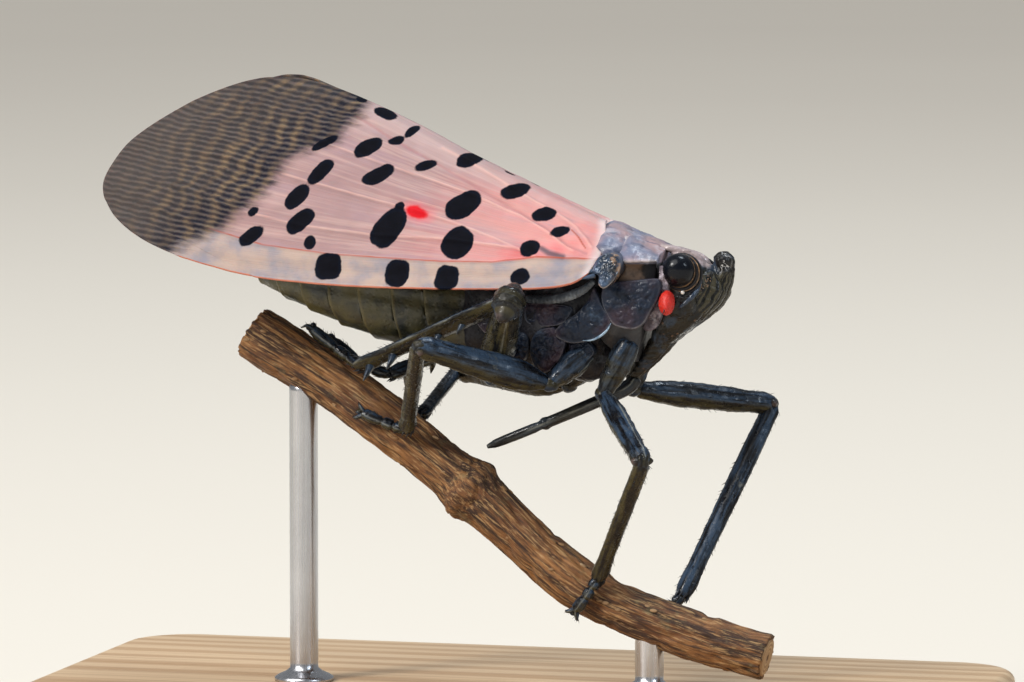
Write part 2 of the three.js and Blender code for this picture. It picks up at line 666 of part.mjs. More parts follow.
function standBase() {
  const { length, width, height, corner, bevel } = base;
  const [x, y] = [length / 2 - bevel, width / 2 - bevel];
  const outline = new THREE.Shape();
  outline.moveTo(-x + corner, -y).lineTo(x - corner, -y).absarc(x - corner, -y + corner, corner, -Math.PI / 2, 0);
  outline.lineTo(x, y - corner).absarc(x - corner, y - corner, corner, 0, Math.PI / 2);
  outline.lineTo(-x + corner, y).absarc(-x + corner, y - corner, corner, Math.PI / 2, Math.PI);
  outline.lineTo(-x, -y + corner).absarc(-x + corner, -y + corner, corner, Math.PI, Math.PI * 1.5);
  return new THREE.ExtrudeGeometry(outline, {
    depth: height - 2 * bevel, bevelThickness: bevel, bevelSize: bevel, bevelSegments: 1, curveSegments: 5,
  }).translate(0, 0, bevel);
}

function standRod(x) {
  const under = besideVine(x, 0, -perchRadius.rear);
  const foot = base.height + gap;
  const height = under.z - foot;
  const post = new THREE.CylinderGeometry(rod.radius, rod.radius, height, 16)
    .rotateX(Math.PI / 2)
    .translate(x, under.y, foot + height / 2);
  return cut(post, perch(gap));
}

// Finishes

const finishes = {
  black: { color: 0x17181b, roughness: 0.45 },
  eye: { color: 0x0b0c10, roughness: 0.12 },
  bulb: { color: 0xe63a12, roughness: 0.6 },
  shield: { color: 0x8c8490, roughness: 0.65 },
  belly: { color: 0x3a3a2c, roughness: 0.6 },
  valves: { color: 0xa3261d, roughness: 0.5 },
  forewing: { color: 0xcf9f97, roughness: 0.55 },
  hindwing: { color: 0xb8281f, roughness: 0.6 },
  bark: { color: 0x6d4630, roughness: 0.85 },
  wood: { color: 0xd8c4a2, roughness: 0.55 },
  steel: { color: 0xc4c7cc, roughness: 0.3, metalness: 1 },
};

// Assembly

const lanternfly = new THREE.Group();

function add(name, geometry, finish) {
  const mesh = new THREE.Mesh(geometry, new THREE.MeshStandardMaterial(finishes[finish]));
  mesh.name = name;
  lanternfly.add(mesh);
}

add('stand_base', standBase(), 'wood');
add('stand_rod_front', standRod(rod.front), 'steel');
add('stand_rod_rear', standRod(rod.rear), 'steel');
add('perch_stem', perch(), 'bark');

const wings = [forewing(gap), mirrored(forewing(gap))];
const plateClear = 0.42;
add('head', head(), 'black');
add('clypeus', clypeus(), 'black');
add('beak', beak(), 'black');
add('pronotum', cut(join(prothorax(), flankPlate(right), flankPlate(left)), mesonotum(plateClear)), 'shield');
add('mesonotum', cut(mesonotum(), ...wings), 'shield');
add('thorax', cut(pterothorax(), prothorax(gap), mesonotum(plateClear), ...wings), 'black');
add('abdomen', abdomen(), 'belly');
add('ovipositor', ovipositor(), 'valves');

for (const side of [right, left]) {
  const named = (part) => `${part}_${sideName[side]}`;
  add(named('eye'), eyeBall(side), 'eye');
  add(named('antenna'), feeler(side), 'bulb');
  add(named('tegula'), onSide(side, tegula()), 'shield');
  add(named('forewing'), onSide(side, forewing()), 'forewing');
  add(named('hindwing'), onSide(side, hindwing()), 'hindwing');
}

for (const [name, size] of Object.entries(legs)) {
  for (const [part, geometry] of Object.entries(leg(name, size))) add(`${name}_${part}`, geometry, 'black');
}

export default lanternfly;
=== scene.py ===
# A spotted lanternfly, a female at life size, on a cut length of vine that a plain stand holds.
# Shapes are worked out in millimetres along the frame's axes and become metres when a piece is finished.
# The insect faces +X and its right side faces -Y.
import math

import bmesh
import bpy
import numpy as np
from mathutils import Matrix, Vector, noise


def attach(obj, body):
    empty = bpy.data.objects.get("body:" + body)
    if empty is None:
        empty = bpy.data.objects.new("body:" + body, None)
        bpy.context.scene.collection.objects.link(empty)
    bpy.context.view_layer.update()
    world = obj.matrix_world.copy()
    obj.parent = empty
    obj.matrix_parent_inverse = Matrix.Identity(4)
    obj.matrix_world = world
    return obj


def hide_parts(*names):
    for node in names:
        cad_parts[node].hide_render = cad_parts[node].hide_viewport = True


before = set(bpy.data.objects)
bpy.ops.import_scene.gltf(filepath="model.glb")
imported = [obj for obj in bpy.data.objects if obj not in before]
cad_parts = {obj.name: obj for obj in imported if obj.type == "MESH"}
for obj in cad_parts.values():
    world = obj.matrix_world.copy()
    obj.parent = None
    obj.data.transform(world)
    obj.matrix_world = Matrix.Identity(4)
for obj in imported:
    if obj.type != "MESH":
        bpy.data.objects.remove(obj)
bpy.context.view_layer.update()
print("frame loaded:", len(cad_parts), "nodes")

millimetre = 0.001
right, left = -1, 1
sideName = {right: "right", left: "left"}


# Shapes are closed meshes held as arrays: points, faces, a material for each face, values for each point
class Shape:
    def __init__(self, points, faces, values=None, materials=None):
        self.points = np.asarray(points, float)
        self.faces = [tuple(face) for face in faces]
        self.values = dict(values or {})
        self.materials = list(materials) if materials is not None else [0] * len(self.faces)

    def reshaped(self, points):
        return Shape(points, self.faces, self.values, self.materials)

    def inMaterial(self, index):
        return Shape(self.points, self.faces, self.values, [index] * len(self.faces))


def joined(*shapes):
    points, faces, materials = [], [], []
    rest = {}
    for shape in shapes:
        for key, value in shape.values.items():
            rest[key] = np.asarray(value).shape[1:]
    values = {key: [] for key in rest}
    count = 0
    for shape in shapes:
        points.append(shape.points)
        faces += [tuple(corner + count for corner in face) for face in shape.faces]
        materials += shape.materials
        size = len(shape.points)
        for key, tail in rest.items():
            values[key].append(np.asarray(shape.values.get(key, np.zeros((size,) + tail)), float))
        count += size
    return Shape(np.vstack(points), faces, {k: np.concatenate(v) for k, v in values.items()}, materials)


def onSide(side, shape):
    if side == right:
        return shape
    flipped = shape.points * np.array([1, -1, 1])
    return Shape(flipped, [face[::-1] for face in shape.faces], shape.values, shape.materials)


def pointNormals(shape):
    normals = np.zeros_like(shape.points)
    for size in {len(face) for face in shape.faces}:
        corners = np.array([face for face in shape.faces if len(face) == size])
        a, b, c = (shape.points[corners[:, i]] for i in (0, 1, 2))
        flat = np.cross(b - a, c - a)
        if size == 4:
            flat = np.cross(c - a, shape.points[corners[:, 3]] - b)
        for i in range(size):
            np.add.at(normals, corners[:, i], flat)
    lengths = np.linalg.norm(normals, axis=1)[:, None]
    return normals / np.maximum(lengths, 1e-12)


def meshOf(name, shape, scale=1.0):
    mesh = bpy.data.meshes.new(name)
    mesh.from_pydata((shape.points * scale).tolist(), [], shape.faces)
    mesh.polygons.foreach_set("material_index", shape.materials)
    mesh.polygons.foreach_set("use_smooth", [True] * len(shape.faces))
    for key, value in shape.values.items():
        value = np.asarray(value, np.float32)
        kind, field = ("FLOAT", "value") if value.ndim == 1 else ("FLOAT_VECTOR", "vector")
        mesh.attributes.new(key, kind, "POINT").data.foreach_set(field, value.ravel())
    work = bmesh.new()
    work.from_mesh(mesh)
    bmesh.ops.recalc_face_normals(work, faces=work.faces)
    work.to_mesh(mesh)
    work.free()
    return mesh


def shapeOf(mesh):
    points = np.zeros(len(mesh.vertices) * 3)
    mesh.vertices.foreach_get("co", points)
    return Shape(points.reshape(-1, 3), [tuple(p.vertices) for p in mesh.polygons])


# The piece rides on the insect's one body, wears the materials given and stands for the nodes named
def finish(name, shape, materials, slot, *nodes):
    mesh = meshOf(name, shape, millimetre)
    for material in materials:
        mesh.materials.append(material)
    piece = bpy.data.objects.new(name, mesh)
    bpy.context.scene.collection.objects.link(piece)
    return mounted(piece, slot, *nodes)


def mounted(piece, slot, *nodes):
    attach(piece, "root")
    if nodes:
        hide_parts(*nodes)
    return piece


# One closed skin over several overlapping shapes, worked out in millimetres
def fused(shape, voxel, relax):
    temporary = bpy.data.objects.new("fusing", meshOf("fusing", shape))
    bpy.context.scene.collection.objects.link(temporary)
    remesh = temporary.modifiers.new("skin", "REMESH")
    remesh.mode, remesh.voxel_size = "VOXEL", voxel
    soften = temporary.modifiers.new("soften", "SMOOTH")
    soften.factor, soften.iterations = 0.5, relax
    mesh = bpy.data.meshes.new_from_object(temporary.evaluated_get(bpy.context.evaluated_depsgraph_get()))
    made = shapeOf(mesh)
    bpy.data.objects.remove(temporary)
    bpy.data.meshes.remove(mesh)
    return made


# Moves each point along its normal by height(point, normal)
def pushed(shape, height):
    normals = pointNormals(shape)
    lifts = np.array([height(point, normal) for point, normal in zip(shape.points, normals)])
    return shape.reshaped(shape.points + normals * lifts[:, None])


def lumps(point, size, seed=0.0):
    return noise.noise(Vector((point[0] / size + seed, point[1] / size, point[2] / size)))


# A height for pushed from rows of depth, size and seed
def lumpy(*rows):
    return lambda point, normal: sum(depth * lumps(point, size, seed) for depth, size, seed in rows)


# One at no gap and near none a few widths away
def bell(gap, width):
    power = -(gap / width) ** 2
    return np.exp(power) if isinstance(power, np.ndarray) else math.exp(power)


# Climbs from none at low to one after a span
def climb(value, low, span):
    return min(max((value - low) / span, 0), 1)


def turns(count):
    return np.linspace(0, 2 * math.pi, count, endpoint=False)


# Curves
def curveThrough(points, centripetal=True):
    steps = 24
    points = np.array(points, float)
    first = 2 * points[0] - points[1] if centripetal else points[0]
    last = 2 * points[-1] - points[-2] if centripetal else points[-1]
    every = np.vstack([first, points, last])
    t = np.linspace(0, 1, steps, endpoint=False)[:, None]
    made = []
    for p0, p1, p2, p3 in zip(every, every[1:], every[2:], every[3:]):
        leave, arrive = (p2 - p0) / 2, (p3 - p1) / 2
        if centripetal:
            d0, d1, d2 = (max(np.linalg.norm(b - a), 1e-4) ** 0.5
                          for a, b in ((p0, p1), (p1, p2), (p2, p3)))
            leave = ((p1 - p0) / d0 - (p2 - p0) / (d0 + d1) + (p2 - p1) / d1) * d1
            arrive = ((p2 - p1) / d1 - (p3 - p1) / (d1 + d2) + (p3 - p2) / d2) * d1
        made.append((2 * t**3 - 3 * t**2 + 1) * p1 + (t**3 - 2 * t**2 + t) * leave
                    + (3 * t**2 - 2 * t**3) * p2 + (t**3 - t**2) * arrive)
    return np.vstack(made + [points[-1:]])


class Path:
    def __init__(self, points, smooth=True, centripetal=True):
        self.points = curveThrough(points, centripetal) if smooth else np.array(points, float)
        steps = np.linalg.norm(np.diff(self.points, axis=0), axis=1)
        self.travel = np.concatenate([[0], np.cumsum(steps)])
        self.length = self.travel[-1]

    def at(self, share):
        where = np.clip(np.asarray(share, float), 0, 1) * self.length
        return np.stack([np.interp(where, self.travel, column) for column in self.points.T], axis=-1)

    def along(self, share):
        share, step = np.asarray(share), 2e-3
        return unit(self.at(np.minimum(share + step, 1)) - self.at(np.maximum(share - step, 0)))


# Rows of position and values, joined by smooth curves and read at any positions
def smoothRows(rows, at):
    rows = np.array(rows, float)
    places = rows[:, 0]
    slopes = np.array([
        (rows[min(i + 1, len(rows) - 1), 1:] - rows[max(i - 1, 0), 1:])
        / (places[min(i + 1, len(rows) - 1)] - places[max(i - 1, 0)])
        for i in range(len(rows))
    ])
    at = np.atleast_1d(np.asarray(at, float))
    k = np.clip(np.searchsorted(places, at, side="right") - 1, 0, len(rows) - 2)
    span = (places[k + 1] - places[k])[:, None]
    t = np.clip((at[:, None] - places[k][:, None]) / span, 0, 1)
    return (rows[k, 1:] * (2 * t**3 - 3 * t**2 + 1) + slopes[k] * span * (t**3 - 2 * t**2 + t)
            + rows[k + 1, 1:] * (3 * t**2 - 2 * t**3) + slopes[k + 1] * span * (t**3 - t**2))


def unit(vector):
    vector = np.asarray(vector, float)
    return vector / np.linalg.norm(vector, axis=-1, keepdims=True)


# A body through rings of equally many points, with its ends closed by fans
def loft(rings, values=None):
    rings = np.asarray(rings, float)
    count, sides = rings.shape[:2]
    faces = []
    for r in range(count - 1):
        for i in range(sides):
            j = (i + 1) % sides
            faces.append((r * sides + i, r * sides + j, (r + 1) * sides + j, (r + 1) * sides + i))
    points = rings.reshape(-1, 3)
    middles = np.array([rings[0].mean(0), rings[-1].mean(0)])
    last = (count - 1) * sides
    total = len(points)
    for i in range(sides):
        j = (i + 1) % sides
        faces += [(j, i, total), (last + i, last + j, total + 1)]
    kept = {}
    for key, value in (values or {}).items():
        value = np.asarray(value, float)
        ends = np.array([value[0].mean(0), value[-1].mean(0)])
        kept[key] = np.concatenate([value.reshape((total,) + value.shape[2:]), ends])
    return Shape(np.vstack([points, middles]), faces, kept)


def signedPower(value, power):
    return np.sign(value) * np.abs(value) ** power


# Upright oval rings across the body; lean tips each ring towards the head as it rises
def ovalRings(x, z, wide, up, down, square=2.0, lean=0.0, sides=48):
    angle = turns(sides)[None, :]
    rise = signedPower(np.cos(angle), 2 / square)
    x, z, wide, up, down = (np.asarray(v, float).reshape(-1, 1) for v in (x, z, wide, up, down))
    height = np.where(rise > 0, rise * up, rise * down)
    return np.stack([x + height * lean, wide * signedPower(np.sin(angle), 2 / square), z + height], axis=-1)


# A limb along a path, rounded at both ends: rows of [share, half width, half depth] or, where these are
# equal, [share, half width]; widths lie along "across". Its points carry "grain": the length along the limb
# and the place across it, in millimetres.
def limb(path, rows, across, rings=44, sides=20, section=None, dome=0.35):
    across = np.asarray(across, float)
    ends = np.array([0.0, 0.12, 0.45, 1.0])
    shares = np.linspace(0, 1, rings)
    sizes = smoothRows([row if len(row) > 2 else [*row, row[1]] for row in rows], shares)
    centres, tangents = path.at(shares), path.along(shares)
    head, tail = sizes[0].mean() * dome, sizes[-1].mean() * dome
    reach = np.concatenate([-head * (1 - ends[:-1]), np.zeros(rings), tail * (1 - ends[:-1][::-1])])
    shrink = np.sqrt(1 - (1 - ends[:-1]) ** 2)
    scale = np.concatenate([shrink, np.ones(rings), shrink[::-1]])
    pick = np.concatenate([[0] * 3, np.arange(rings), [rings - 1] * 3])
    side = unit(across - (tangents @ across)[:, None] * tangents)
    depth = np.cross(tangents, side)
    angle = turns(sides)
    swell = np.ones((rings, sides)) if section is None else section(angle[None, :], shares[:, None])
    wide = np.cos(angle)[None] * sizes[:, :1] * swell
    deep = np.sin(angle)[None] * sizes[:, 1:2] * swell
    wide, deep = wide[pick] * scale[:, None], deep[pick] * scale[:, None]
    middle = centres[pick] + tangents[pick] * reach[:, None]
    points = (middle[:, None] + side[pick][:, None] * wide[..., None]
              + depth[pick][:, None] * deep[..., None])
    travel = (shares[pick] * path.length + reach)[:, None] * np.ones((1, sides))
    return loft(points, {"grain": np.stack([travel, wide, deep], axis=-1), "hairy": np.ones(travel.shape)})


def straight(start, end):
    return Path([start, end], smooth=False)


def cone(start, end, root, tip, sides=8, rings=6):
    start, end = np.asarray(start, float), np.asarray(end, float)
    across = [0, 1, 0] if abs(unit(end - start)[1]) < 0.9 else [1, 0, 0]
    profile = [[0, root], [0.5, root * 0.62 + tip * 0.38], [1, tip]]
    return limb(straight(start, end), profile, across, rings, sides)


def ellipsoid(centre, radii, around=32, rings=20):
    turn = np.linspace(0, math.pi, rings + 1)[1:-1]
    angle = turns(around)
    girth, level = np.sin(turn)[:, None], np.cos(turn)[:, None] * np.ones((1, around))
    ball = np.stack([girth * np.cos(angle)[None], girth * np.sin(angle)[None], level], axis=-1)
    return loft(ball * np.asarray(radii, float) + np.asarray(centre, float))


# A ring of round section through a closed loop of points
def ringBead(loop, radius):
    sides = 8
    loop = np.asarray(loop, float)
    forward = unit(np.roll(loop, -1, 0) - np.roll(loop, 1, 0))
    outward = unit(loop - loop.mean(0))
    third = unit(np.cross(forward, outward))
    outward = np.cross(third, forward)
    angle = turns(sides)
    points = (loop[:, None] + outward[:, None] * (np.cos(angle) * radius)[None, :, None]
              + third[:, None] * (np.sin(angle) * radius)[None, :, None])
    count = len(loop)
    faces = [(r * sides + i, r * sides + (i + 1) % sides,
              (r + 1) % count * sides + (i + 1) % sides, (r + 1) % count * sides + i)
             for r in range(count) for i in range(sides)]
    return Shape(points.reshape(-1, 3), faces)


# A plate bounded by an outline of [x, z] points, domed, with a raised rim, sunk into what lies behind it
def plate(outline, y, slope=(0.0, 0.0), dome=0.12, rim=0.05, depth=0.7, crease=0.03, folds=2.6, seed=1.0):
    rings, around = 26, 96
    border = Path(outline + outline[:1]).at(np.linspace(0, 1, around, endpoint=False))
    middle = border.mean(0)
    share = np.array([0.02] + list(np.linspace(0, 1, rings)[1:]))
    flat = middle + (border[None] - middle) * share[:, None, None]
    height = (dome * (1 - share**5) + rim * bell(share - 0.95, 0.035))[:, None] * np.ones((1, around))
    for i in range(rings):
        for j in range(around):
            x, z = flat[i, j]
            creased = noise.fractal(Vector((x * folds, seed, z * folds)), 0.8, 2.0, 3)
            height[i, j] += crease * creased * min(1, (1 - share[i]) * 5)
    level = y + slope[0] * (flat[..., 0] - middle[0]) + slope[1] * (flat[..., 1] - middle[1])
    face = np.stack([flat[..., 0], -(level + height), flat[..., 1]], axis=-1)
    skirt = face[-1:] + np.array([0, 0.06, 0])
    skirtIn = np.stack([middle[0] + (border[:, 0] - middle[0]) * 0.97, -(level[-1] - depth),
                        middle[1] + (border[:, 1] - middle[1]) * 0.97], axis=-1)[None]
    low = np.clip(0.5 + (middle[1] - border[:, 1]) / np.ptp(border[:, 1]), 0, 1)[None]
    edge = bell(share - 0.97, 0.028)[:, None] * np.ones((1, around)) * (0.08 + 0.92 * low**2)
    return loft(np.concatenate([face, skirt, skirtIn]),
                {"edge": np.concatenate([edge, edge[-1:] * 0.5, edge[-1:] * 0])})


# Shader parts
def newMaterial(name, **fixed):
    material = bpy.data.materials.new(name)
    material.use_nodes = True
    for socket, value in fixed.items():
        material.node_tree.nodes["Principled BSDF"].inputs[socket.replace("_", " ")].default_value = value
    w = Wiring(material.node_tree)
    return material, w, w.node("ShaderNodeTexCoord").outputs["Object"]


def painted(material, colour, rough=None, relief=None):
    shader = material.node_tree.nodes["Principled BSDF"]
    for source, name in ((colour, "Base Color"), (rough, "Roughness"), (relief, "Normal")):
        if source is not None:
            material.node_tree.links.new(source, shader.inputs[name])
    return material


class Wiring:
    def __init__(self, tree):
        self.tree = tree

    def node(self, kind, **settings):
        made = self.tree.nodes.new(kind)
        for key, value in settings.items():
            setattr(made, key, value)
        return made

    def feed(self, source, target):
        if isinstance(source, bpy.types.NodeSocket):
            self.tree.links.new(source, target)
        else:
            target.default_value = source

    # A new node with its inputs fed, each by its name or its place
    def fed(self, kind, inputs, **settings):
        made = self.node(kind, **settings)
        for key, source in inputs.items():
            self.feed(source, made.inputs[key])
        return made.outputs

    def math(self, operation, *values):
        return self.fed("ShaderNodeMath", dict(enumerate(values)), operation=operation)[0]

    def times(self, *values):
        return self.math("MULTIPLY", *values)

    # The first value times the second, plus the third
    def timesPlus(self, *values):
        return self.math("MULTIPLY_ADD", *values)

    def ramp(self, value, low, high, start=0.0, end=1.0):
        inputs = {"Value": value, "From Min": low, "From Max": high, "To Min": start, "To Max": end}
        return self.fed("ShaderNodeMapRange", inputs, interpolation_type="SMOOTHSTEP")[0]

    def mix(self, share, first, second):
        return self.fed("ShaderNodeMix", {0: share, 6: first, 7: second}, data_type="RGBA")[2]

    # Lays tones over a colour, each row a tone and where a ramp lets it show
    def layers(self, colour, *rows):
        for tone, *span in rows:
            colour = self.mix(self.ramp(*span), colour, tone)
        return colour

    def attribute(self, name, output="Fac"):
        return self.fed("ShaderNodeAttribute", {}, attribute_type="GEOMETRY", attribute_name=name)[output]

    def split(self, vector):
        return self.fed("ShaderNodeSeparateXYZ", {0: vector})

    def stretch(self, vector, scale, offset=(0, 0, 0)):
        return self.fed("ShaderNodeMapping", {"Vector": vector, "Scale": scale, "Location": offset})[0]

    def cloud(self, vector, scale, detail=3.0, rough=0.55, twist=0.0):
        return self.fed("ShaderNodeTexNoise", {"Vector": vector, "Scale": scale, "Detail": detail,
                                               "Roughness": rough, "Distortion": twist})["Fac"]

    # Noise along a grain: the vector is stretched first
    def strands(self, vector, scale, offset=(0, 0, 0), *rest):
        return self.cloud(self.stretch(vector, scale, offset), 1.0, *rest)

    def cells(self, vector, scale):
        return self.fed("ShaderNodeTexVoronoi", {"Vector": vector, "Scale": scale})["Distance"]

    def bump(self, height, strength, distance):
        return self.fed("ShaderNodeBump", {"Strength": strength, "Distance": distance * millimetre,
                                           "Height": height})[0]

    def group(self, tree, **values):
        inputs = {name.replace("_", " "): value for name, value in values.items()}
        return self.fed("ShaderNodeGroup", inputs, node_tree=tree)


# A shader group starts from its named inputs (kind, name, value) and outputs (kind, name)
def newGroup(name, inputs, outputs):
    tree = bpy.data.node_groups.new(name, "ShaderNodeTree")
    for kind, label, value in inputs:
        socket = tree.interface.new_socket(label, in_out="INPUT", socket_type="NodeSocket" + kind)
        if value is not None:
            socket.default_value = value
    for kind, label in outputs:
        tree.interface.new_socket(label, in_out="OUTPUT", socket_type="NodeSocket" + kind)
    wiring = Wiring(tree)
    return tree, wiring, wiring.node("NodeGroupInput").outputs, wiring.node("NodeGroupOutput").inputs


def rgb(red, green, blue):
    return (red, green, blue, 1.0)


# Pits, wrinkles and fine grain of an insect's shell
def shellGrainGroup():
    tree, w, given, out = newGroup(
        "shellGrain",
        [("Vector", "Vector", None), ("Float", "Grain", 9000.0), ("Float", "Pits", 5200.0),
         ("Float", "Pit Depth", 0.6), ("Float", "Wrinkle", 1800.0)],
        [("Float", "Height"), ("Float", "Spread")],
    )
    fine = w.cloud(given["Vector"], given["Grain"], 4.0, 0.6)
    wrinkle = w.cloud(given["Vector"], given["Wrinkle"], 5.0, 0.62, 0.8)
    pits = w.ramp(w.cells(given["Vector"], given["Pits"]), 0.12, 0.42)
    sunk = w.times(w.math("SUBTRACT", 1.0, pits), given["Pit Depth"])
    raised = w.timesPlus(fine, 0.22, wrinkle)
    w.feed(w.math("SUBTRACT", raised, sunk), out["Height"])
    w.feed(w.ramp(wrinkle, 0.35, 0.7), out["Spread"])
    return tree


# Pale wax dust that gathers in patches, and a worn or waxy rim where the piece carries an edge
def waxBloomGroup():
    tree, w, given, out = newGroup(
        "waxBloom",
        [("Vector", "Vector", None), ("Color", "Color", rgb(0.02, 0.02, 0.025)),
         ("Color", "Wax", rgb(0.3, 0.36, 0.42)),
         ("Float", "Scale", 900.0), ("Float", "Low", 0.5), ("Float", "High", 0.75),
         ("Color", "Rim", rgb(0.4, 0.34, 0.26)), ("Float", "Rim Share", 0.6), ("Float", "Edge", 0.0)],
        [("Color", "Color"), ("Float", "Mask")],
    )
    patch = w.cloud(given["Vector"], given["Scale"], 6.0, 0.68, 0.4)
    mask = w.ramp(patch, given["Low"], given["High"])
    dusted = w.mix(mask, given["Color"], given["Wax"])
    worn = w.ramp(w.cloud(given["Vector"], 2600.0, 3.0), 0.25, 0.6, 0.35, 1.0)
    edge = w.times(w.times(given["Edge"], worn), given["Rim Share"])
    w.feed(w.mix(edge, dusted, given["Rim"]), out["Color"])
    w.feed(mask, out["Mask"])
    return tree


# Slow drift between two tones, for any surface that isn't one even colour
def toneDriftGroup():
    tree, w, given, out = newGroup(
        "toneDrift",
        [("Vector", "Vector", None), ("Color", "First", rgb(1, 1, 1)), ("Color", "Second", rgb(0, 0, 0)),
         ("Float", "Scale", 300.0), ("Float", "Low", 0.35), ("Float", "High", 0.65)],
        [("Color", "Color"), ("Float", "Mask")],
    )
    mask = w.ramp(w.cloud(given["Vector"], given["Scale"], 4.0, 0.55), given["Low"], given["High"])
    w.feed(w.mix(mask, given["First"], given["Second"]), out["Color"])
    w.feed(mask, out["Mask"])
    return tree


shellGrain, waxBloom, toneDrift = shellGrainGroup(), waxBloomGroup(), toneDriftGroup()


def drift(w, place, first, second, scale, low=0.35, high=0.65):
    return w.group(toneDrift, Vector=place, First=first, Second=second, Scale=scale, Low=low, High=high)


# Closes a shell's material: roughness between two values, relief of pits and wrinkles
def shelled(material, w, place, colour, rough, strength=0.6, depth=0.03, **grain):
    surface = w.group(shellGrain, Vector=place, **grain)
    return painted(material, colour, w.ramp(surface["Spread"], 0.0, 1.0, *rough),
                   w.bump(surface["Height"], strength, depth))


# A limb's colours: streaks along it, a painted blue sheen where it faces up to the light and olive below, a
# worn line and dark recesses
def limbColour(w, place, dark):
    grain = w.attribute("grain", "Vector")
    streak = w.ramp(w.cloud(w.stretch(grain, (0.35, 3.4, 3.4)), 1.6, 4.0, 0.6), 0.38, 0.6)
    # Painted sheen: faces turned up towards the light get blue, those turned down get olive
    lit = w.timesPlus(w.cloud(place, 500.0, 3.0), 0.8, w.attribute("upper"))
    face = w.mix(w.ramp(lit, 0.1, 0.75), rgb(0.05, 0.042, 0.017), rgb(0.03, 0.052, 0.088))
    colour = w.mix(w.times(streak, 0.85), dark, face)
    beside = w.math("ABSOLUTE", w.split(grain)[2])
    worn = w.times(w.ramp(beside, 0.015, 0.06, 0.7, 0.0), w.ramp(beside, 0.0, 0.003))
    colour = w.mix(w.times(worn, streak), colour, rgb(0.2, 0.2, 0.17))
    recess = w.mix(w.ramp(w.cloud(place, 1900.0, 3.0), 0.4, 0.6), rgb(0.075, 0.05, 0.045),
                   rgb(0.012, 0.01, 0.01))
    return w.mix(w.attribute("recess"), colour, recess)


# Dark shell of body and legs: alongLimb adds a limb's own colours, edged a paler rim
def shellMaterial(name, dark, sheen, wax, low=0.52, high=0.78, scale=900.0, rough=(0.28, 0.6), pitDepth=0.6,
                  rim=rgb(0.16, 0.13, 0.1), rimShare=0.5, alongLimb=False, edged=False, depth=0.03,
                  coat=0.08):
    material, w, place = newMaterial(name, Coat_Weight=coat, Coat_Roughness=0.14, IOR=1.5,
                                     Specular_IOR_Level=0.24)
    if alongLimb:
        colour = limbColour(w, place, dark)
    else:
        colour = drift(w, place, dark, sheen, scale * 0.6, 0.4, 0.68)["Color"]
    bloom = w.group(waxBloom, Vector=place, Color=colour, Wax=wax, Scale=scale, Low=low, High=high, Rim=rim,
                    Rim_Share=rimShare, Edge=w.attribute("edge") if edged else 0.0)
    return shelled(material, w, place, bloom["Color"], rough, depth=depth, Pit_Depth=pitDepth)


# Geometry Nodes trees start as shader groups do; each ends in real meshes with their material
def startTree(name, inputs):
    tree = bpy.data.node_groups.new(name, "GeometryNodeTree")
    tree.interface.new_socket("Geometry", in_out="INPUT", socket_type="NodeSocketGeometry")
    for kind, label in inputs:
        tree.interface.new_socket(label, in_out="INPUT", socket_type="NodeSocket" + kind)
    tree.interface.new_socket("Geometry", in_out="OUTPUT", socket_type="NodeSocketGeometry")
    w = Wiring(tree)
    return tree, w, w.node("NodeGroupInput").outputs, w.node("NodeGroupOutput").inputs


# Sets an item at each point at a random size, its Z axis turned to the direction given plus the lean
def placeItems(w, given, out, points, direction):
    item = w.fed("GeometryNodeObjectInfo", {"Object": given["Item"]})["Geometry"]
    leaning = w.fed("ShaderNodeVectorMath", {0: direction, 1: given["Lean"]}, operation="ADD")[0]
    turn = w.fed("FunctionNodeAlignRotationToVector", {"Vector": leaning}, axis="Z")[0]
    size = w.fed("FunctionNodeRandomValue", {2: given["Smallest"], 3: given["Largest"], 8: given["Seed"]},
                 data_type="FLOAT")[1]
    placed = w.fed("GeometryNodeInstanceOnPoints", {"Points": points, "Instance": item, "Rotation": turn,
                                                    "Scale": size})[0]
    real = w.fed("GeometryNodeRealizeInstances", {0: placed})[0]
    dressed = w.fed("GeometryNodeSetMaterial", {"Geometry": real, "Material": given["Material"]})[0]
    w.feed(dressed, out["Geometry"])


itemInputs = [("Object", "Item"), ("Float", "Smallest"), ("Float", "Largest"), ("Int", "Seed"),
              ("Vector", "Lean"), ("Material", "Material")]


# Over a surface; Density is items for each square metre, and Mask picks where by an attribute of the surface
def scatterTree():
    tree, w, given, out = startTree("scatterOver", itemInputs + [("Float", "Density"), ("String", "Mask")])
    mask = w.fed("GeometryNodeInputNamedAttribute", {"Name": given["Mask"]}, data_type="FLOAT")["Attribute"]
    inputs = {"Mesh": given["Geometry"], "Density": w.times(given["Density"], mask), "Seed": given["Seed"]}
    spread = w.fed("GeometryNodeDistributePointsOnFaces", inputs, distribute_method="RANDOM")
    placeItems(w, given, out, spread["Points"], spread["Normal"])
    return tree


# Along a path of joined edges; Count is the number on each path, and items point the way of Lean
def rowTree():
    tree, w, given, out = startTree("rowAlong", itemInputs + [("Int", "Count")])
    path = w.fed("GeometryNodeMeshToCurve", {"Mesh": given["Geometry"]})[0]
    even = w.fed("GeometryNodeResampleCurve", {"Curve": path, "Count": given["Count"]})[0]
    placeItems(w, given, out, even, w.node("GeometryNodeInputTangent").outputs[0])
    return tree


scatterOver, rowAlong = scatterTree(), rowTree()


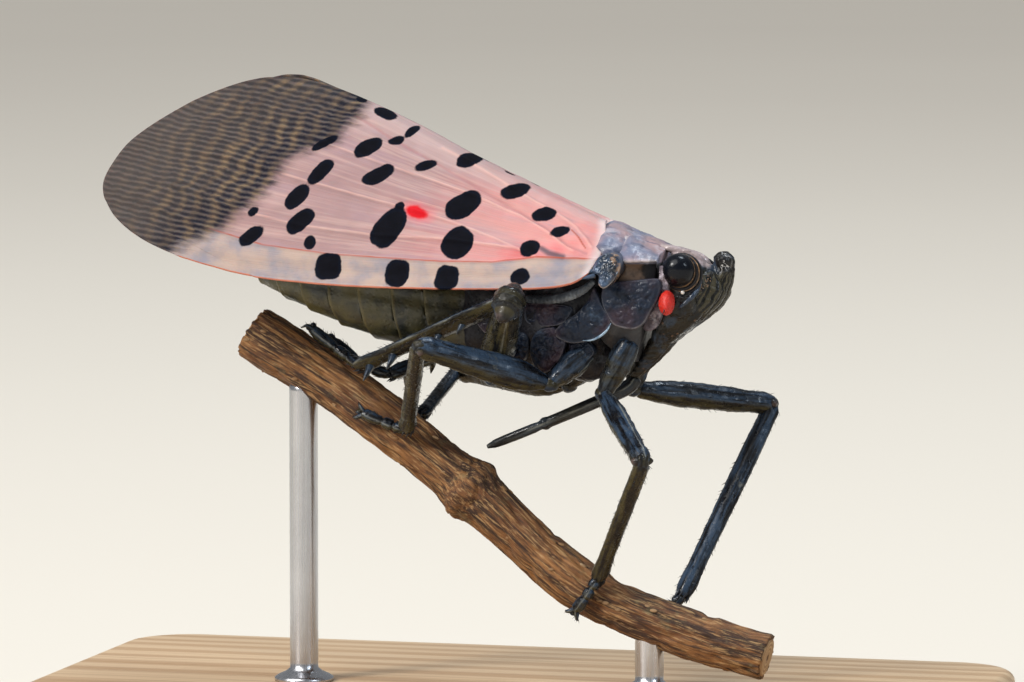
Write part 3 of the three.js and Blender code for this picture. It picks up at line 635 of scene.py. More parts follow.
# Runs a tree on a mesh and makes one plain piece of what grows there
def grown(tree, name, mesh, slot, **values):
    host = bpy.data.objects.new("host", mesh)
    bpy.context.scene.collection.objects.link(host)
    modifier = host.modifiers.new("nodes", "NODES")
    modifier.node_group = tree
    for entry in tree.interface.items_tree:
        if entry.item_type == "SOCKET" and entry.in_out == "INPUT" and entry.name in values:
            modifier[entry.identifier] = values[entry.name]
    made = bpy.data.meshes.new_from_object(host.evaluated_get(bpy.context.evaluated_depsgraph_get()))
    bpy.data.objects.remove(host)
    made.name = name
    piece = bpy.data.objects.new(name, made)
    bpy.context.scene.collection.objects.link(piece)
    return mounted(piece, slot)


items = []


# A small thing to be repeated; it leaves the scene once everything has grown
def repeatedItem(name, shape):
    item = bpy.data.objects.new(name, meshOf(name, shape, millimetre))
    bpy.context.scene.collection.objects.link(item)
    items.append(item)
    return item


def pathMesh(lines):
    points, edges = [], []
    for line in lines:
        edges += [(len(points) + i, len(points) + i + 1) for i in range(len(line) - 1)]
        points += [tuple(np.asarray(point) * millimetre) for point in line]
    mesh = bpy.data.meshes.new("path")
    mesh.from_pydata(points, edges, [])
    return mesh


# Wings
# Outline of a forewing seen from the side, as in the solids
wing = {
    "costal": [[4.55, 23.35], [3.97, 22.98], [2.76, 22.8], [0.3, 22.76], [-3.8, 22.82], [-6.6, 22.97],
               [-9.5, 23.3], [-12.1, 23.98]],
    "ridge": [[4.6, 25.45], [2.77, 26.28], [-0.75, 27.95], [-3.34, 29.26], [-5.73, 30.32], [-7.5, 31.0]],
    "root": [[4.55, 23.35], [4.9, 24.4], [4.6, 25.45]],
    "apex": [[-12.1, 23.98], [-13.8, 24.72], [-15.1, 25.7], [-15.65, 26.8], [-15.3, 27.9], [-14.4, 29.0],
             [-12.2, 30.42], [-9.9, 31.18], [-7.5, 31.0]],
    "ridgeOffset": 0.42, "bulge": 1.8, "depth": 8.8,
    "outer": 0.25, "membrane": 0.17, "columns": 230, "rows": 150,
    "veinHeight": 0.06, "veinWidth": 0.06,
    # Where each wing's upper margin lies: its place beside the middle, and how far it is lowered
    "seam": {right: -0.04, left: 0.1}, "sunk": {right: 0.0, left: 0.16},
}
# Spots as [x, z, half length, half width, tilt, squareness]
spots = [[-6.02, 23.63, 0.53, 0.52, 0, 3.2], [-3.17, 23.38, 0.54, 0.5, 88, 2.6],
         [-1.11, 23.21, 0.49, 0.48, 0, 2.8], [1.85, 23.23, 0.38, 0.34, 0, 2],
         [-3.80, 25.19, 0.85, 0.56, 58, 2.3], [-3.52, 26.00, 0.19, 0.17, 68, 2],
         [-0.99, 26.06, 0.73, 0.49, 27, 2.3], [-0.92, 24.57, 0.65, 0.61, 62, 2.3],
         [1.98, 24.34, 0.38, 0.35, 0, 2], [0.89, 26.57, 0.54, 0.3, 8, 2.2], [2.24, 25.65, 0.47, 0.26, 5, 2],
         [2.99, 24.98, 0.38, 0.23, 12, 2], [-1.16, 27.86, 0.45, 0.32, 12, 2.2],
         [-2.74, 27.63, 0.45, 0.21, 16, 2.2], [-4.60, 27.25, 0.65, 0.33, 27, 2.3],
         [-5.20, 28.36, 0.57, 0.32, 27, 2.3], [-4.13, 28.65, 0.34, 0.18, 13, 2.2],
         [-3.65, 28.98, 0.32, 0.18, 52, 2.2], [0.48, 27.39, 0.28, 0.11, -28, 2],
         [-6.90, 27.41, 0.62, 0.3, 50, 2.3], [-7.69, 26.41, 0.58, 0.35, 51, 2.3],
         [-7.42, 25.43, 0.64, 0.36, 43, 2.3], [-6.90, 24.61, 0.24, 0.3, 0, 2],
         [-9.32, 24.88, 0.54, 0.3, 37, 2.2], [-9.38, 25.80, 0.23, 0.17, 32, 2],
         [-4.84, 29.71, 0.51, 0.22, -24, 2.2], [-5.95, 30.30, 0.25, 0.15, -19, 2],
         [-6.98, 28.55, 0.52, 0.17, 27, 2.2]]
redMark = [[-2.79, 25.79, 0.5, 0.25, -14, 2]]
smokeTail = [[2.44, 24.35], [2.81, 24.12], [3.39, 24.0]]
redVeins = [
    [[4.76, 23.88], [3.92, 23.93], [2.32, 24.0], [0.55, 23.8], [-1.47, 23.83], [-3.32, 23.94],
     [-5.99, 24.12], [-8.82, 24.5], [-11.45, 25.25], [-13.62, 26.16]],
    [[4.18, 24.31], [3.81, 24.69], [3.45, 25.04]],
]
palerVeins = [
    [[2.32, 24.0], [1.41, 24.35], [-0.15, 24.54], [-1.71, 24.73], [-4.24, 24.88], [-7.37, 25.27],
     [-10.1, 25.9], [-12.9, 26.98]],
    [[1.41, 24.35], [0.4, 24.78], [-0.85, 25.25], [-2.2, 25.68], [-4.3, 26.23], [-7.65, 27.11],
     [-10.61, 27.99], [-13.1, 28.39]],
    [[3.74, 24.19], [2.5, 24.97], [1.38, 25.6], [-0.52, 26.39], [-2.46, 27.07], [-4.57, 27.75],
     [-6.69, 28.47], [-9.68, 29.6]],
    [[4.4, 24.34], [3.62, 25.12], [2.72, 25.67], [1.62, 26.26], [0.3, 26.98], [-1.01, 27.66], [-2.32, 28.3]],
]
clavalSuture = [[4.27, 24.12], [3.48, 24.46], [2.46, 25.12], [1.34, 25.75], [0.29, 26.27], [-1.03, 26.98],
                [-2.61, 27.82], [-3.93, 28.51], [-5.26, 29.27], [-7.03, 30.28]]
darkEdge = [[-5.3, 31.4], [-5.56, 30.4], [-5.64, 29.59], [-6.02, 29.15], [-6.39, 28.59], [-7.43, 28.15],
            [-8.09, 27.83], [-8.41, 27.35], [-8.81, 26.79], [-9.21, 26.22], [-9.72, 25.74], [-10.38, 25.17],
            [-11.39, 24.64], [-12.15, 24.28], [-12.9, 23.4]]


def ridgeHeight(x):
    return 25.71 + 0.47 * (4.39 - x)


def onRoof(x, z):
    drop = np.maximum(0, ridgeHeight(x) - z)
    share = np.minimum(1, drop / wing["depth"])
    spread = 0.55 + 0.5 * np.exp((x - 4.8) / 4)
    y = -(wing["ridgeOffset"] + spread * drop + wing["bulge"] * share * (1 - share))
    return np.stack([x, y, z], axis=-1)


wingMargins = {name: Path(wing[name], centripetal=False) for name in ("costal", "ridge", "root", "apex")}


# Flat place between the margins: along runs from root to apex, over from the costal margin to the ridge
def wingPlace(along, over):
    costal, ridge, root, apex = (wingMargins[name] for name in ("costal", "ridge", "root", "apex"))
    u, v = along[..., None], over[..., None]
    place = costal.at(along) * (1 - v) + ridge.at(along) * v + root.at(over) * (1 - u) + apex.at(over) * u
    place -= root.at(0.0) * (1 - u) * (1 - v) + root.at(1.0) * (1 - u) * v
    return place - apex.at(0.0) * u * (1 - v) - apex.at(1.0) * u * v


def lineDistance(x, z, line):
    best = np.full(x.shape, 1e9)
    signed = np.zeros(x.shape)
    for (ax, az), (bx, bz) in zip(line, line[1:]):
        dx, dz = bx - ax, bz - az
        t = np.clip(((x - ax) * dx + (z - az) * dz) / (dx * dx + dz * dz), 0, 1)
        gap = np.hypot(x - ax - t * dx, z - az - t * dz)
        side = np.sign(dx * (z - az) - dz * (x - ax))
        signed = np.where(gap < best, side, signed)
        best = np.minimum(best, gap)
    return best, signed


def spotDistance(x, z, marks):
    best = np.full(x.shape, 9.0)
    for cx, cz, long, short, tilt, square in marks:
        turn = math.radians(tilt)
        u = (x - cx) * math.cos(turn) + (z - cz) * math.sin(turn)
        v = (z - cz) * math.cos(turn) - (x - cx) * math.sin(turn)
        size = (np.abs(u / long) ** square + np.abs(v / short) ** square) ** (1 / square)
        best = np.minimum(best, (size - 1) * (long * short) ** 0.5)
    return best


# A sheet over a grid of points, with its outer face moved out by lift and closed round its border
def sheet(points, lift, thickness, values):
    du = np.gradient(points, axis=0)
    dv = np.gradient(points, axis=1)
    normals = unit(np.cross(du, dv))
    normals[normals[..., 1] > 0] *= -1
    outer = points + normals * lift[..., None]
    inner = outer - normals * thickness[..., None]
    rows, across = points.shape[:2]
    count = rows * across
    grid = np.arange(count).reshape(rows, across)
    a, b, c, d = grid[:-1, :-1], grid[1:, :-1], grid[1:, 1:], grid[:-1, 1:]
    top = np.stack([a, b, c, d], -1).reshape(-1, 4)
    under = np.stack([a, d, c, b], -1).reshape(-1, 4) + count
    loop = np.concatenate([grid[0, :-1], grid[:-1, -1], grid[-1, :0:-1], grid[:0:-1, 0]])
    onward = np.roll(loop, -1)
    wall = np.stack([loop, onward, onward + count, loop + count], -1)
    kept = {}
    for key, value in values.items():
        value = value.reshape((count,) + value.shape[2:])
        kept[key] = np.concatenate([value, value])
    every = np.concatenate([top, under, wall])
    return Shape(np.concatenate([outer.reshape(-1, 3), inner.reshape(-1, 3)]), every.tolist(), kept)


def shareGrid(size):
    return np.meshgrid(*(np.linspace(0, 1, size[key]) for key in ("columns", "rows")), indexing="ij")


def forewingShape(side):
    along, over = shareGrid(wing)
    flat = wingPlace(along, over)
    x, z = flat[..., 0], flat[..., 1]
    wobble = np.array([[noise.noise(Vector((p[0] * 1.9, 3.1, p[1] * 1.9))) for p in row] for row in flat])
    red = np.minimum(*(lineDistance(x, z, line)[0] for line in redVeins))
    pale = np.min([lineDistance(x, z, line)[0] for line in palerVeins], axis=0)
    suture = lineDistance(x, z, clavalSuture)[0]
    costa = lineDistance(x, z, redVeins[0])
    edge, edgeSide = lineDistance(x, z, darkEdge)
    tail = lineDistance(x, z, smokeTail)[0]
    fade = np.clip((1 - along) * 6, 0, 1)
    ridge = bell(np.minimum(red, pale), wing["veinWidth"]) * wing["veinHeight"] * fade
    groove = bell(suture, 0.09) * 0.05
    border = np.minimum(np.minimum(over * 8, (1 - over) * 8), np.minimum(along * 20, (1 - along) * 20))
    bead = bell(over * 7.2 - 0.07, 0.05) * 0.045
    sway = 0.035 * np.sin(over * 34 + 2 * along) * np.clip(border, 0, 1) + 0.03 * wobble
    lift = wing["outer"] + ridge - groove + bead + sway
    thickness = 0.06 + (wing["membrane"] - 0.06) * np.clip(border * 1.2, 0, 1) + ridge * 1.3 + bead * 1.4
    weave = np.stack([along * 21.0, over * 9.0, np.zeros_like(over)], axis=-1)
    place = onRoof(x, z)
    closing = np.clip((over - 0.86) / 0.14, 0, 1) ** 2
    place[..., 1] += closing * (wing["ridgeOffset"] - wing["seam"][side])
    place[..., 2] -= closing * wing["sunk"][side]
    lift *= 1 - 0.75 * closing
    height = z - 24.0
    net = np.stack([x - 0.16 * height - 0.035 * height**2, z + 0.21 * x, np.zeros_like(x)], axis=-1)
    return sheet(place, lift, thickness, {
        "spot": spotDistance(x, z, spots) + 0.05 * wobble, "redMark": spotDistance(x, z, redMark),
        "dark": -edge * edgeSide, "redVein": red, "paleVein": pale, "suture": suture, "tail": tail,
        "strip": costa[0] * costa[1], "weave": weave, "net": net, "rim": np.minimum(over * 7.0, 9.0),
    })


# A pleated sheet, folded like a fan under its forewing
hindwingSize = {"pleats": 6, "depth": 0.17, "inset": 1.2544, "columns": 150, "rows": 121,
                "thickness": 0.12}


def hindwingShape():
    s = hindwingSize
    along, over = shareGrid(s)
    x = 1.6 - 14.6 * along + 0.9 * over * along
    top = ridgeHeight(x) - 2.7 - 1.4 * along**4
    low = 23.75 + 0.8 * np.maximum(0, 1 - 4 * along) + 1.7 * along**3
    height = low + (top - low) * over
    roof = onRoof(x, np.minimum(height, ridgeHeight(x) - 2.4))
    wave = np.cos(2 * math.pi * s["pleats"] * over)
    fold = (wave - 0.12 * np.cos(6 * math.pi * s["pleats"] * over)) * s["depth"] * np.minimum(1, along * 3)
    points = np.stack([x, roof[..., 1] + s["inset"] + fold, height], axis=-1)
    rib = 0.05 * bell(1 - np.abs(wave), 0.08)
    cell = np.stack([along * 14.6, over * 7.0, fold], axis=-1)
    return sheet(points, 0.1 + rib, np.full_like(x, s["thickness"]) + 2 * rib, {
        "weave": cell, "reach": along, "crest": wave * 0.5 + 0.5,
    })


def forewingMaterial():
    material, w, place = newMaterial("forewingMembrane", IOR=1.4, Specular_IOR_Level=0.1,
                                     Subsurface_Weight=0.1, Subsurface_Scale=0.0003)
    weave, net = w.attribute("weave", "Vector"), w.attribute("net", "Vector")
    along, over = w.split(weave)[:2]
    # The pink half: salmon near the root, greyer towards the tip, finely lined
    patches = w.cloud(place, 300.0, 3.0, 0.5)
    warm = w.ramp(w.timesPlus(patches, 7.0, along), 5.0, 14.5, 1.0, 0.0)
    blush = w.mix(w.ramp(patches, 0.42, 0.64), rgb(0.62, 0.27, 0.25), rgb(0.66, 0.14, 0.14))
    cool = w.strands(weave, (0.22, 0.9, 1), (2, 9, 0), 3.0, 0.6, 0.4)
    ground = w.layers(w.mix(warm, rgb(0.33, 0.205, 0.2), blush),
                      (rgb(0.36, 0.24, 0.26), cool, 0.5, 0.68, 0.0, 0.55))
    stripes = w.ramp(w.strands(weave, (0.12, 3.4, 1), (0, 0, 0), 3.0, 0.65, 0.25), 0.4, 0.66)
    fineLines = w.ramp(w.strands(weave, (0.3, 14.0, 1), (3, 1, 0), 2.0, 0.6, 0.15), 0.42, 0.6)
    calm = w.ramp(along, 1.5, 9.0, 0.15, 0.6)
    ground = w.mix(w.times(stripes, calm), ground, rgb(0.52, 0.35, 0.31))
    ground = w.mix(w.times(fineLines, w.times(calm, 0.4)), ground, rgb(0.28, 0.19, 0.2))
    mottle = w.ramp(w.cloud(place, 800.0, 4.0), 0.35, 0.7)
    mark = w.timesPlus(w.cloud(place, 1700.0, 3.0), 0.3, w.attribute("redMark"))
    ground = w.layers(
        ground,
        (rgb(0.48, 0.35, 0.33), w.timesPlus(patches, 2.5, over), 7.6, 9.6, 0.0, 0.6),
        (w.mix(mottle, rgb(0.42, 0.31, 0.26), rgb(0.25, 0.23, 0.26)), w.attribute("strip"), -0.02, 0.08),
        # The seam of the hind lobe, veins, the smoky tail of the spot beside the root, and the red mark
        (rgb(0.36, 0.16, 0.16), w.attribute("suture"), 0.0, 0.1, 0.5, 0.0),
        (rgb(0.72, 0.45, 0.38), w.attribute("paleVein"), 0.0, 0.07, 0.4, 0.0),
        (rgb(0.06, 0.06, 0.08), w.attribute("tail"), 0.02, 0.16, 0.8, 0.0),
        (rgb(0.66, 0.09, 0.12), mark, 0.0, 0.6, 0.5, 0.0),
        (rgb(0.55, 0.008, 0.014), mark, 0.02, 0.2, 1.0, 0.0),
    )
    # The dark tip: rows of dark dashes between fine paler lines, crossed by wavy tan columns
    acrossNet, upNet = w.split(net)[:2]
    pitch, spacing = 0.215, 0.76
    wander = w.strands(net, (0.3, 0.3, 0), (0, 0, 0), 2.0, 0.5)
    jitter = w.strands(net, (2.2, 1.2, 0), (5, 0, 0), 3.0, 0.6)
    row = w.timesPlus(jitter, 0.16, w.timesPlus(wander, 0.5, upNet))
    shuffle = w.fed("ShaderNodeTexWhiteNoise", {"W": w.math("FLOOR", w.math("DIVIDE", row, pitch))},
                    noise_dimensions="1D")["Value"]
    ragged = w.strands(net, (1.4, 4.5, 0), (0, 4, 0), 3.0, 0.6)
    depth = w.timesPlus(shuffle, 0.22, w.timesPlus(ragged, 0.6, w.attribute("dark")))
    dark = w.ramp(depth, 0.1, 0.85)
    lines = w.ramp(w.math("PINGPONG", row, pitch / 2), 0.0, pitch * 0.42, 1.0, 0.0)
    sway = w.strands(net, (0.2, 0.55, 0), (1, 7, 0), 2.0, 0.5)
    column = w.timesPlus(sway, 1.9, w.timesPlus(shuffle, 0.2, acrossNet))
    fade = w.ramp(acrossNet, -16.5, -11.5, 0.15, 1.0)
    bands = w.times(w.ramp(w.math("PINGPONG", column, spacing / 2), spacing * 0.12, spacing * 0.46), fade)
    tan = w.mix(w.ramp(w.cloud(place, 900.0, 3.0), 0.35, 0.65), rgb(0.09, 0.065, 0.05), rgb(0.2, 0.135, 0.08))
    dash = w.layers(rgb(0.01, 0.01, 0.018), (rgb(0.034, 0.029, 0.03), depth, 0.8, 3.2),
                    (rgb(0.062, 0.052, 0.048), fade, 0.3, 1.0, 0.7, 0.0))
    broken = w.ramp(w.strands(net, (1.8, 4.0, 0), (9, 2, 0), 2.0, 0.6), 0.3, 0.6, 0.45, 0.85)
    tip = w.mix(w.times(lines, broken), dash, rgb(0.115, 0.092, 0.083))
    tip = w.mix(w.times(bands, w.ramp(lines, 0.0, 1.0, 0.3, 0.9)), tip, tan)
    ground = w.mix(dark, ground, tip)
    redVein = w.ramp(w.attribute("redVein"), 0.0, 0.05, 0.85, 0.0)
    ground = w.mix(w.times(redVein, w.math("SUBTRACT", 1.0, dark)), ground, rgb(0.36, 0.075, 0.035))
    ground = w.layers(ground, (rgb(0.62, 0.52, 0.5), along, 0.1, 0.7, 0.8, 0.0))
    margin = w.ramp(w.attribute("rim"), 0.015, 0.09, 0.8, 0.0)
    ground = w.mix(w.times(margin, w.ramp(dark, 0.0, 1.0, 1.0, 0.2)), ground, rgb(0.6, 0.17, 0.09))
    spotEdge = w.timesPlus(w.cloud(place, 4200.0, 3.0), 0.09, w.attribute("spot"))
    spotMask = w.ramp(spotEdge, 0.01, 0.07, 1.0, 0.0)
    black = w.layers(w.mix(w.cloud(place, 3000.0, 3.0), rgb(0.001, 0.001, 0.002), rgb(0.004, 0.004, 0.008)),
                     (rgb(0.002, 0.004, 0.011), spotEdge, -0.16, 0.02, 0.0, 0.8))
    calmSpots = w.times(fineLines, w.ramp(spotMask, 0.0, 1.0, 0.3, 0.08))
    relief = w.timesPlus(w.times(w.math("MAXIMUM", lines, bands), dark), 0.8, calmSpots)
    relief = w.timesPlus(w.cloud(place, 7000.0, 4.0), 0.35, relief)
    return painted(material, w.mix(spotMask, ground, black), w.ramp(spotMask, 0.0, 1.0, 0.55, 0.75),
                   w.bump(relief, 0.55, 0.03))


def hindwingMaterial():
    material, w, place = newMaterial("hindwingMembrane", Sheen_Weight=0.1, IOR=1.42)
    weave = w.attribute("weave", "Vector")
    reach = w.timesPlus(w.cloud(place, 260.0, 3.0), 0.12, w.attribute("reach"))
    red = drift(w, place, rgb(0.5, 0.03, 0.012), rgb(0.32, 0.014, 0.01), 420.0)
    # Black dots on red, then the black, white and grey fields towards the edge
    colour = w.layers(
        red["Color"],
        (rgb(0.01, 0.009, 0.012), w.cells(w.stretch(weave, (0.62, 0.5, 0.0)), 1.0), 0.2, 0.26, 1.0, 0.0),
        (rgb(0.012, 0.011, 0.014), reach, 0.6, 0.62), (rgb(0.6, 0.55, 0.48), reach, 0.72, 0.74),
        (rgb(0.045, 0.04, 0.045), reach, 0.86, 0.89),
    )
    ribs = w.ramp(w.attribute("crest"), 0.86, 0.98)
    return painted(material, w.mix(w.times(ribs, 0.6), colour, rgb(0.12, 0.03, 0.02)),
                   w.ramp(red["Mask"], 0.0, 1.0, 0.4, 0.6), w.bump(w.strands(weave, (2, 9, 2)), 0.4, 0.02))


membrane, fanSkin = forewingMaterial(), hindwingMaterial()
fanShape = hindwingShape()
for side in (right, left):
    name = sideName[side]
    wingShape = forewingShape(side)
    finish("forewing" + name.title(), onSide(side, wingShape), [membrane], "forewing_membrane",
           "forewing_" + name)
    finish("hindwing" + name.title(), onSide(side, fanShape), [fanSkin], "hindwing_membrane",
           "hindwing_" + name)
print("wings made:", len(wingShape.faces), "faces each")


# Small things that repeat: hairs, grains and the pores of the bark
hair = repeatedItem("hair", cone([0, 0, -0.02], [0.03, 0, 0.24], 0.017, 0.004, 5, 3))
grit = repeatedItem("grain", ellipsoid([0, 0, 0], [0.04, 0.032, 0.022], 8, 5))
pore = repeatedItem("pore", ellipsoid([0, 0, 0], [0.15, 0.07, 0.045], 10, 5))


# Head
headSize = {
    # [height, rear, front, half width at the rear, half width of the face]
    "rows": [[20.5, 6.62, 7.5, 1.0, 0.8], [20.85, 6.72, 7.95, 1.2, 0.95], [21.4, 6.88, 8.66, 1.42, 1.08],
             [22.0, 7.04, 9.26, 1.54, 1.08], [22.5, 7.15, 9.62, 1.6, 1.0], [22.9, 7.25, 9.78, 1.6, 0.9],
             [23.3, 7.3, 9.66, 1.6, 0.8], [23.7, 7.34, 9.3, 1.55, 0.74], [24.0, 7.4, 9.0, 1.4, 0.7],
             [24.25, 7.46, 8.5, 1.1, 0.55], [24.5, 7.52, 7.9, 0.6, 0.3]],
    "voxel": 0.036, "keels": 16, "keelDepth": 0.06,
}
eye = {"radius": 0.69, "depth": 0.62, "at": [8.04, 1.8, 23.64]}
antenna = {"at": [7.67, 2.26, 22.3], "bristle": 0.95}
# The head is rolled a little about the right eye, which hides the far eye behind the crown
headRoll = {"about": -1.9, "slope": 0.115, "from": 21.4, "full": 22.6}
ocellus = {"at": [8.22, 22.72], "radius": 0.085}
cheekStrip = {"outline": [[7.34, 23.8], [7.5, 23.8], [7.6, 23.3], [7.69, 22.96], [7.56, 22.45],
                          [7.4, 22.04], [7.28, 21.62], [7.04, 21.2], [6.8, 21.1], [6.6, 21.2],
                          [6.74, 21.62], [6.96, 22.04], [7.26, 22.45], [7.39, 22.96], [7.43, 23.3]],
              "y": 1.98, "slope": (-0.1, 0.12), "dome": 0.1, "rim": 0.03, "crease": 0.12, "folds": 4.0,
              "seed": 12.0,
              "depth": 0.9}


def rolled(shape):
    share = np.clip((shape.points[:, 2] - headRoll["from"]) / (headRoll["full"] - headRoll["from"]), 0, 1)
    points = shape.points.copy()
    points[:, 2] -= headRoll["slope"] * (points[:, 1] - headRoll["about"]) * share
    return shape.reshaped(points)


def headRings(rows, count):
    sides = 64
    levels = np.linspace(rows[0][0], rows[-1][0], count)
    rings = []
    for z, (rear, front, rearWide, frontWide) in zip(levels, smoothRows(rows, levels)):
        deep = front - rear
        half = [[front, 0], [front - 0.03 * deep, frontWide * 0.55], [front - 0.09 * deep, frontWide * 0.93],
                [front - 0.26 * deep, frontWide * 1.1], [rear + 0.52 * deep, rearWide * 0.97],
                [rear + 0.18 * deep, rearWide], [rear, rearWide * 0.8], [rear - 0.02, 0]]
        outline = half + [[x, -y] for x, y in half[-2:0:-1]]
        line = Path(outline + outline[:1])
        flat = line.at(np.linspace(0, 1, sides, endpoint=False))
        rings.append(np.stack([flat[:, 0], -flat[:, 1], np.full(sides, z)], axis=-1))
    return rings


def headShape():
    skull = loft(headRings(headSize["rows"], 26))
    knob = Path([[9.0, 0, 22.6], [9.4, 0, 23.2], [9.54, 0, 23.75], [9.54, 0, 24.12]])
    snout = limb(knob, [[0, 0.72, 0.5], [0.4, 0.64, 0.48], [0.75, 0.54, 0.44], [1, 0.42, 0.36]],
                 [0, 1, 0], 24, 32, dome=0.5)
    parts = [skull, snout, ellipsoid([9.53, 0, 24.06], [0.46, 0.5, 0.47], 48, 32)]
    parts += [ellipsoid([8.0, s * 1.2, 23.48], [0.92, 0.6, 0.66]) for s in (right, left)]
    parts += [ellipsoid([7.95, s * 1.35, 22.4], [0.8, 0.46, 0.8]) for s in (right, left)]
    crest = [[7.05, 0.6, 24.62], [7.69, 0.62, 24.53], [8.3, 0.55, 24.36], [8.8, 0.42, 24.09],
             [9.2, 0.3, 23.8]]
    parts += [limb(Path([[x, s * y, z] for x, y, z in crest]), [[0, 0.2, 0.16], [0.7, 0.18, 0.14], [1, 0.1]],
                   [0, 1, 0], 40, 20) for s in (right, left)]

    def fanAngle(y, z):
        return y, 0.55 + 0.35 * (24.6 - z)

    def relief(point, normal):
        x, y, z = point
        face = climb(x, 8.3, 0.5) * climb(z, 20.6, 0.5)
        keel = abs(math.cos(math.atan2(*fanAngle(y, z)) * headSize["keels"] * 0.6)) ** 0.6 * 2 - 1.3
        groove = face * headSize["keelDepth"] * keel * (1 - 0.75 * climb(z, 23.3, 0.4))
        knobShare = climb(x, 9.05, 0.15) * climb(z, 23.2, 0.3)
        crown = 0.05 * lumps(point, 0.26, 7) * knobShare + 0.02 * lumps(point, 0.1, 11) * knobShare
        notch = -0.1 * bell(x - 8.98, 0.14) * climb(z, 23.5, 0.3)
        wrinkle = 0.03 * lumps(point, 0.3, 2) + 0.014 * lumps(point, 0.1, 5)
        # A groove round the antenna's socket, and a keel round the eye
        pit = -0.035 * bell(math.hypot(x - 7.67, z - 22.3) - 0.42, 0.1) if abs(y) > 1.2 else 0
        carina = 0.06 * bell(math.hypot(x - 8.2, z - 23.5) - 1.0, 0.05) if abs(y) > 0.7 and x > 8 else 0
        return groove + crown + wrinkle + pit + carina + notch

    made = pushed(fused(joined(*parts), headSize["voxel"], 3), relief)
    x, y, z = made.points.T
    # The top of the head, where the pale crown goes, grey-mauve and partly a painted highlight
    top = np.clip((z - 24.5 + 0.4 * (x - 7.5) + 0.1 * np.abs(y)) * 9 + 0.6, 0, 1)
    made.values.update({
        "fan": np.arctan2(*fanAngle(y, z)),
        "face": np.clip((x - 8.55 + 0.25 * (z - 22.5)) * 4, 0, 1) * np.clip((23.75 - z) * 4, 0, 1),
        "knob": np.clip(2.2 - np.hypot(x - 9.6, z - 24.08) / 0.2, 0, 1),
        "crown": top * np.clip((9.12 - x) * 6, 0, 1),
        "cheek": bell(np.hypot(x - 8.75, z - 23.15) - 0.1, 0.25) * (np.abs(y) > 0.3),
    })
    return made


# How far out a shape reaches beside a place on its flank
def outermost(shape, x, z, within=0.08):
    near = np.hypot(shape.points[:, 0] - x, shape.points[:, 2] - z) < within
    return np.abs(shape.points[near, 1]).max()


# Rings round the eye as [radius, how far in from its middle, shift ahead, shift up, thickness, material]
eyeRims = [[0.67, -0.02, 0.03, -0.02, 0.02, 2], [0.7, 0.06, 0.08, -0.07, 0.07, 1],
           [0.77, 0.07, 0.1, -0.09, 0.022, 2], [0.81, 0.2, 0.12, -0.13, 0.06, 1]]


def eyeShape(side):
    x, y, z = eye["at"]
    parts = [ellipsoid([x, side * y, z], [eye["radius"], eye["depth"], eye["radius"]], 96, 64)]
    turn = turns(96)
    for radius, back, ahead, rise, thickness, material in eyeRims:
        circle = np.stack([x + ahead + radius * np.cos(turn), np.full(96, side * (y - back)),
                           z + rise + radius * np.sin(turn)], -1)
        parts.append(ringBead(circle, thickness).inMaterial(material))
    return joined(*parts)


def antennaShape(side):
    x, y, z = antenna["at"]
    centre = np.array([x, side * y, z])
    lean = unit([0.12, side * 0.9, -0.42])
    profile = [[0, 0.12, 0.1], [0.1, 0.25, 0.2], [0.3, 0.36, 0.29], [0.55, 0.4, 0.32], [0.8, 0.33, 0.27],
               [0.95, 0.19, 0.15], [1, 0.12, 0.1]]
    bulb = limb(straight(centre - lean * 0.5, centre + lean * 0.5), profile, [0, 0.42, 0.9], 40, 40, dome=0.5)
    upright = bulb.points - centre
    upright[:, 2] *= 1.18
    bulb = pushed(bulb.reshaped(upright + centre), lumpy((0.01, 0.12, 3), (0.006, 0.05, 9)))
    bulb.values["bulb"] = np.ones(len(bulb.points))
    stalk = limb(straight(centre - lean * 0.85, centre - lean * 0.3),
                 [[0, 0.24], [0.35, 0.2], [0.6, 0.26], [1, 0.2]], [1, 0, 0], 20, 24)
    along = unit([-0.25, side * 0.55, -0.8])
    tip = centre + lean * 0.42
    course = Path([tip, tip + along * 0.5, tip + along * 1.0 + np.array([0, 0, -0.05]),
                   tip + along * antenna["bristle"] + np.array([0, 0, -0.14])])
    bristle = limb(course, [[0, 0.07], [0.12, 0.05], [0.2, 0.022], [1, 0.008]], [1, 0, 0], 24, 10)
    return joined(bulb, stalk.inMaterial(1), bristle.inMaterial(1))


# Lower face, tapering to the root of the beak, with a keel down its middle and along each side
def clypeusShape():
    rows = [[19.1, 5.66, 6.02, 0.34, 0.26], [19.6, 6.02, 6.58, 0.56, 0.46], [20.1, 6.34, 7.08, 0.78, 0.68],
            [20.65, 6.62, 7.55, 0.98, 0.84]]
    base = fused(loft(headRings(rows, 18)), 0.045, 2)

    def relief(point, normal):
        y, z = point[1:]
        keel = 0.09 * bell(y, 0.08) if normal[0] > 0.2 else 0
        edge = 0.07 * bell(abs(y) - 0.62 * (0.4 + 0.42 * (z - 19.1)), 0.07)
        ribs = 0.022 * math.cos(z * 26 + abs(y) * 5) * min(1, abs(normal[1]))
        return keel + edge + ribs + 0.02 * lumps(point, 0.25)

    return pushed(base, relief)


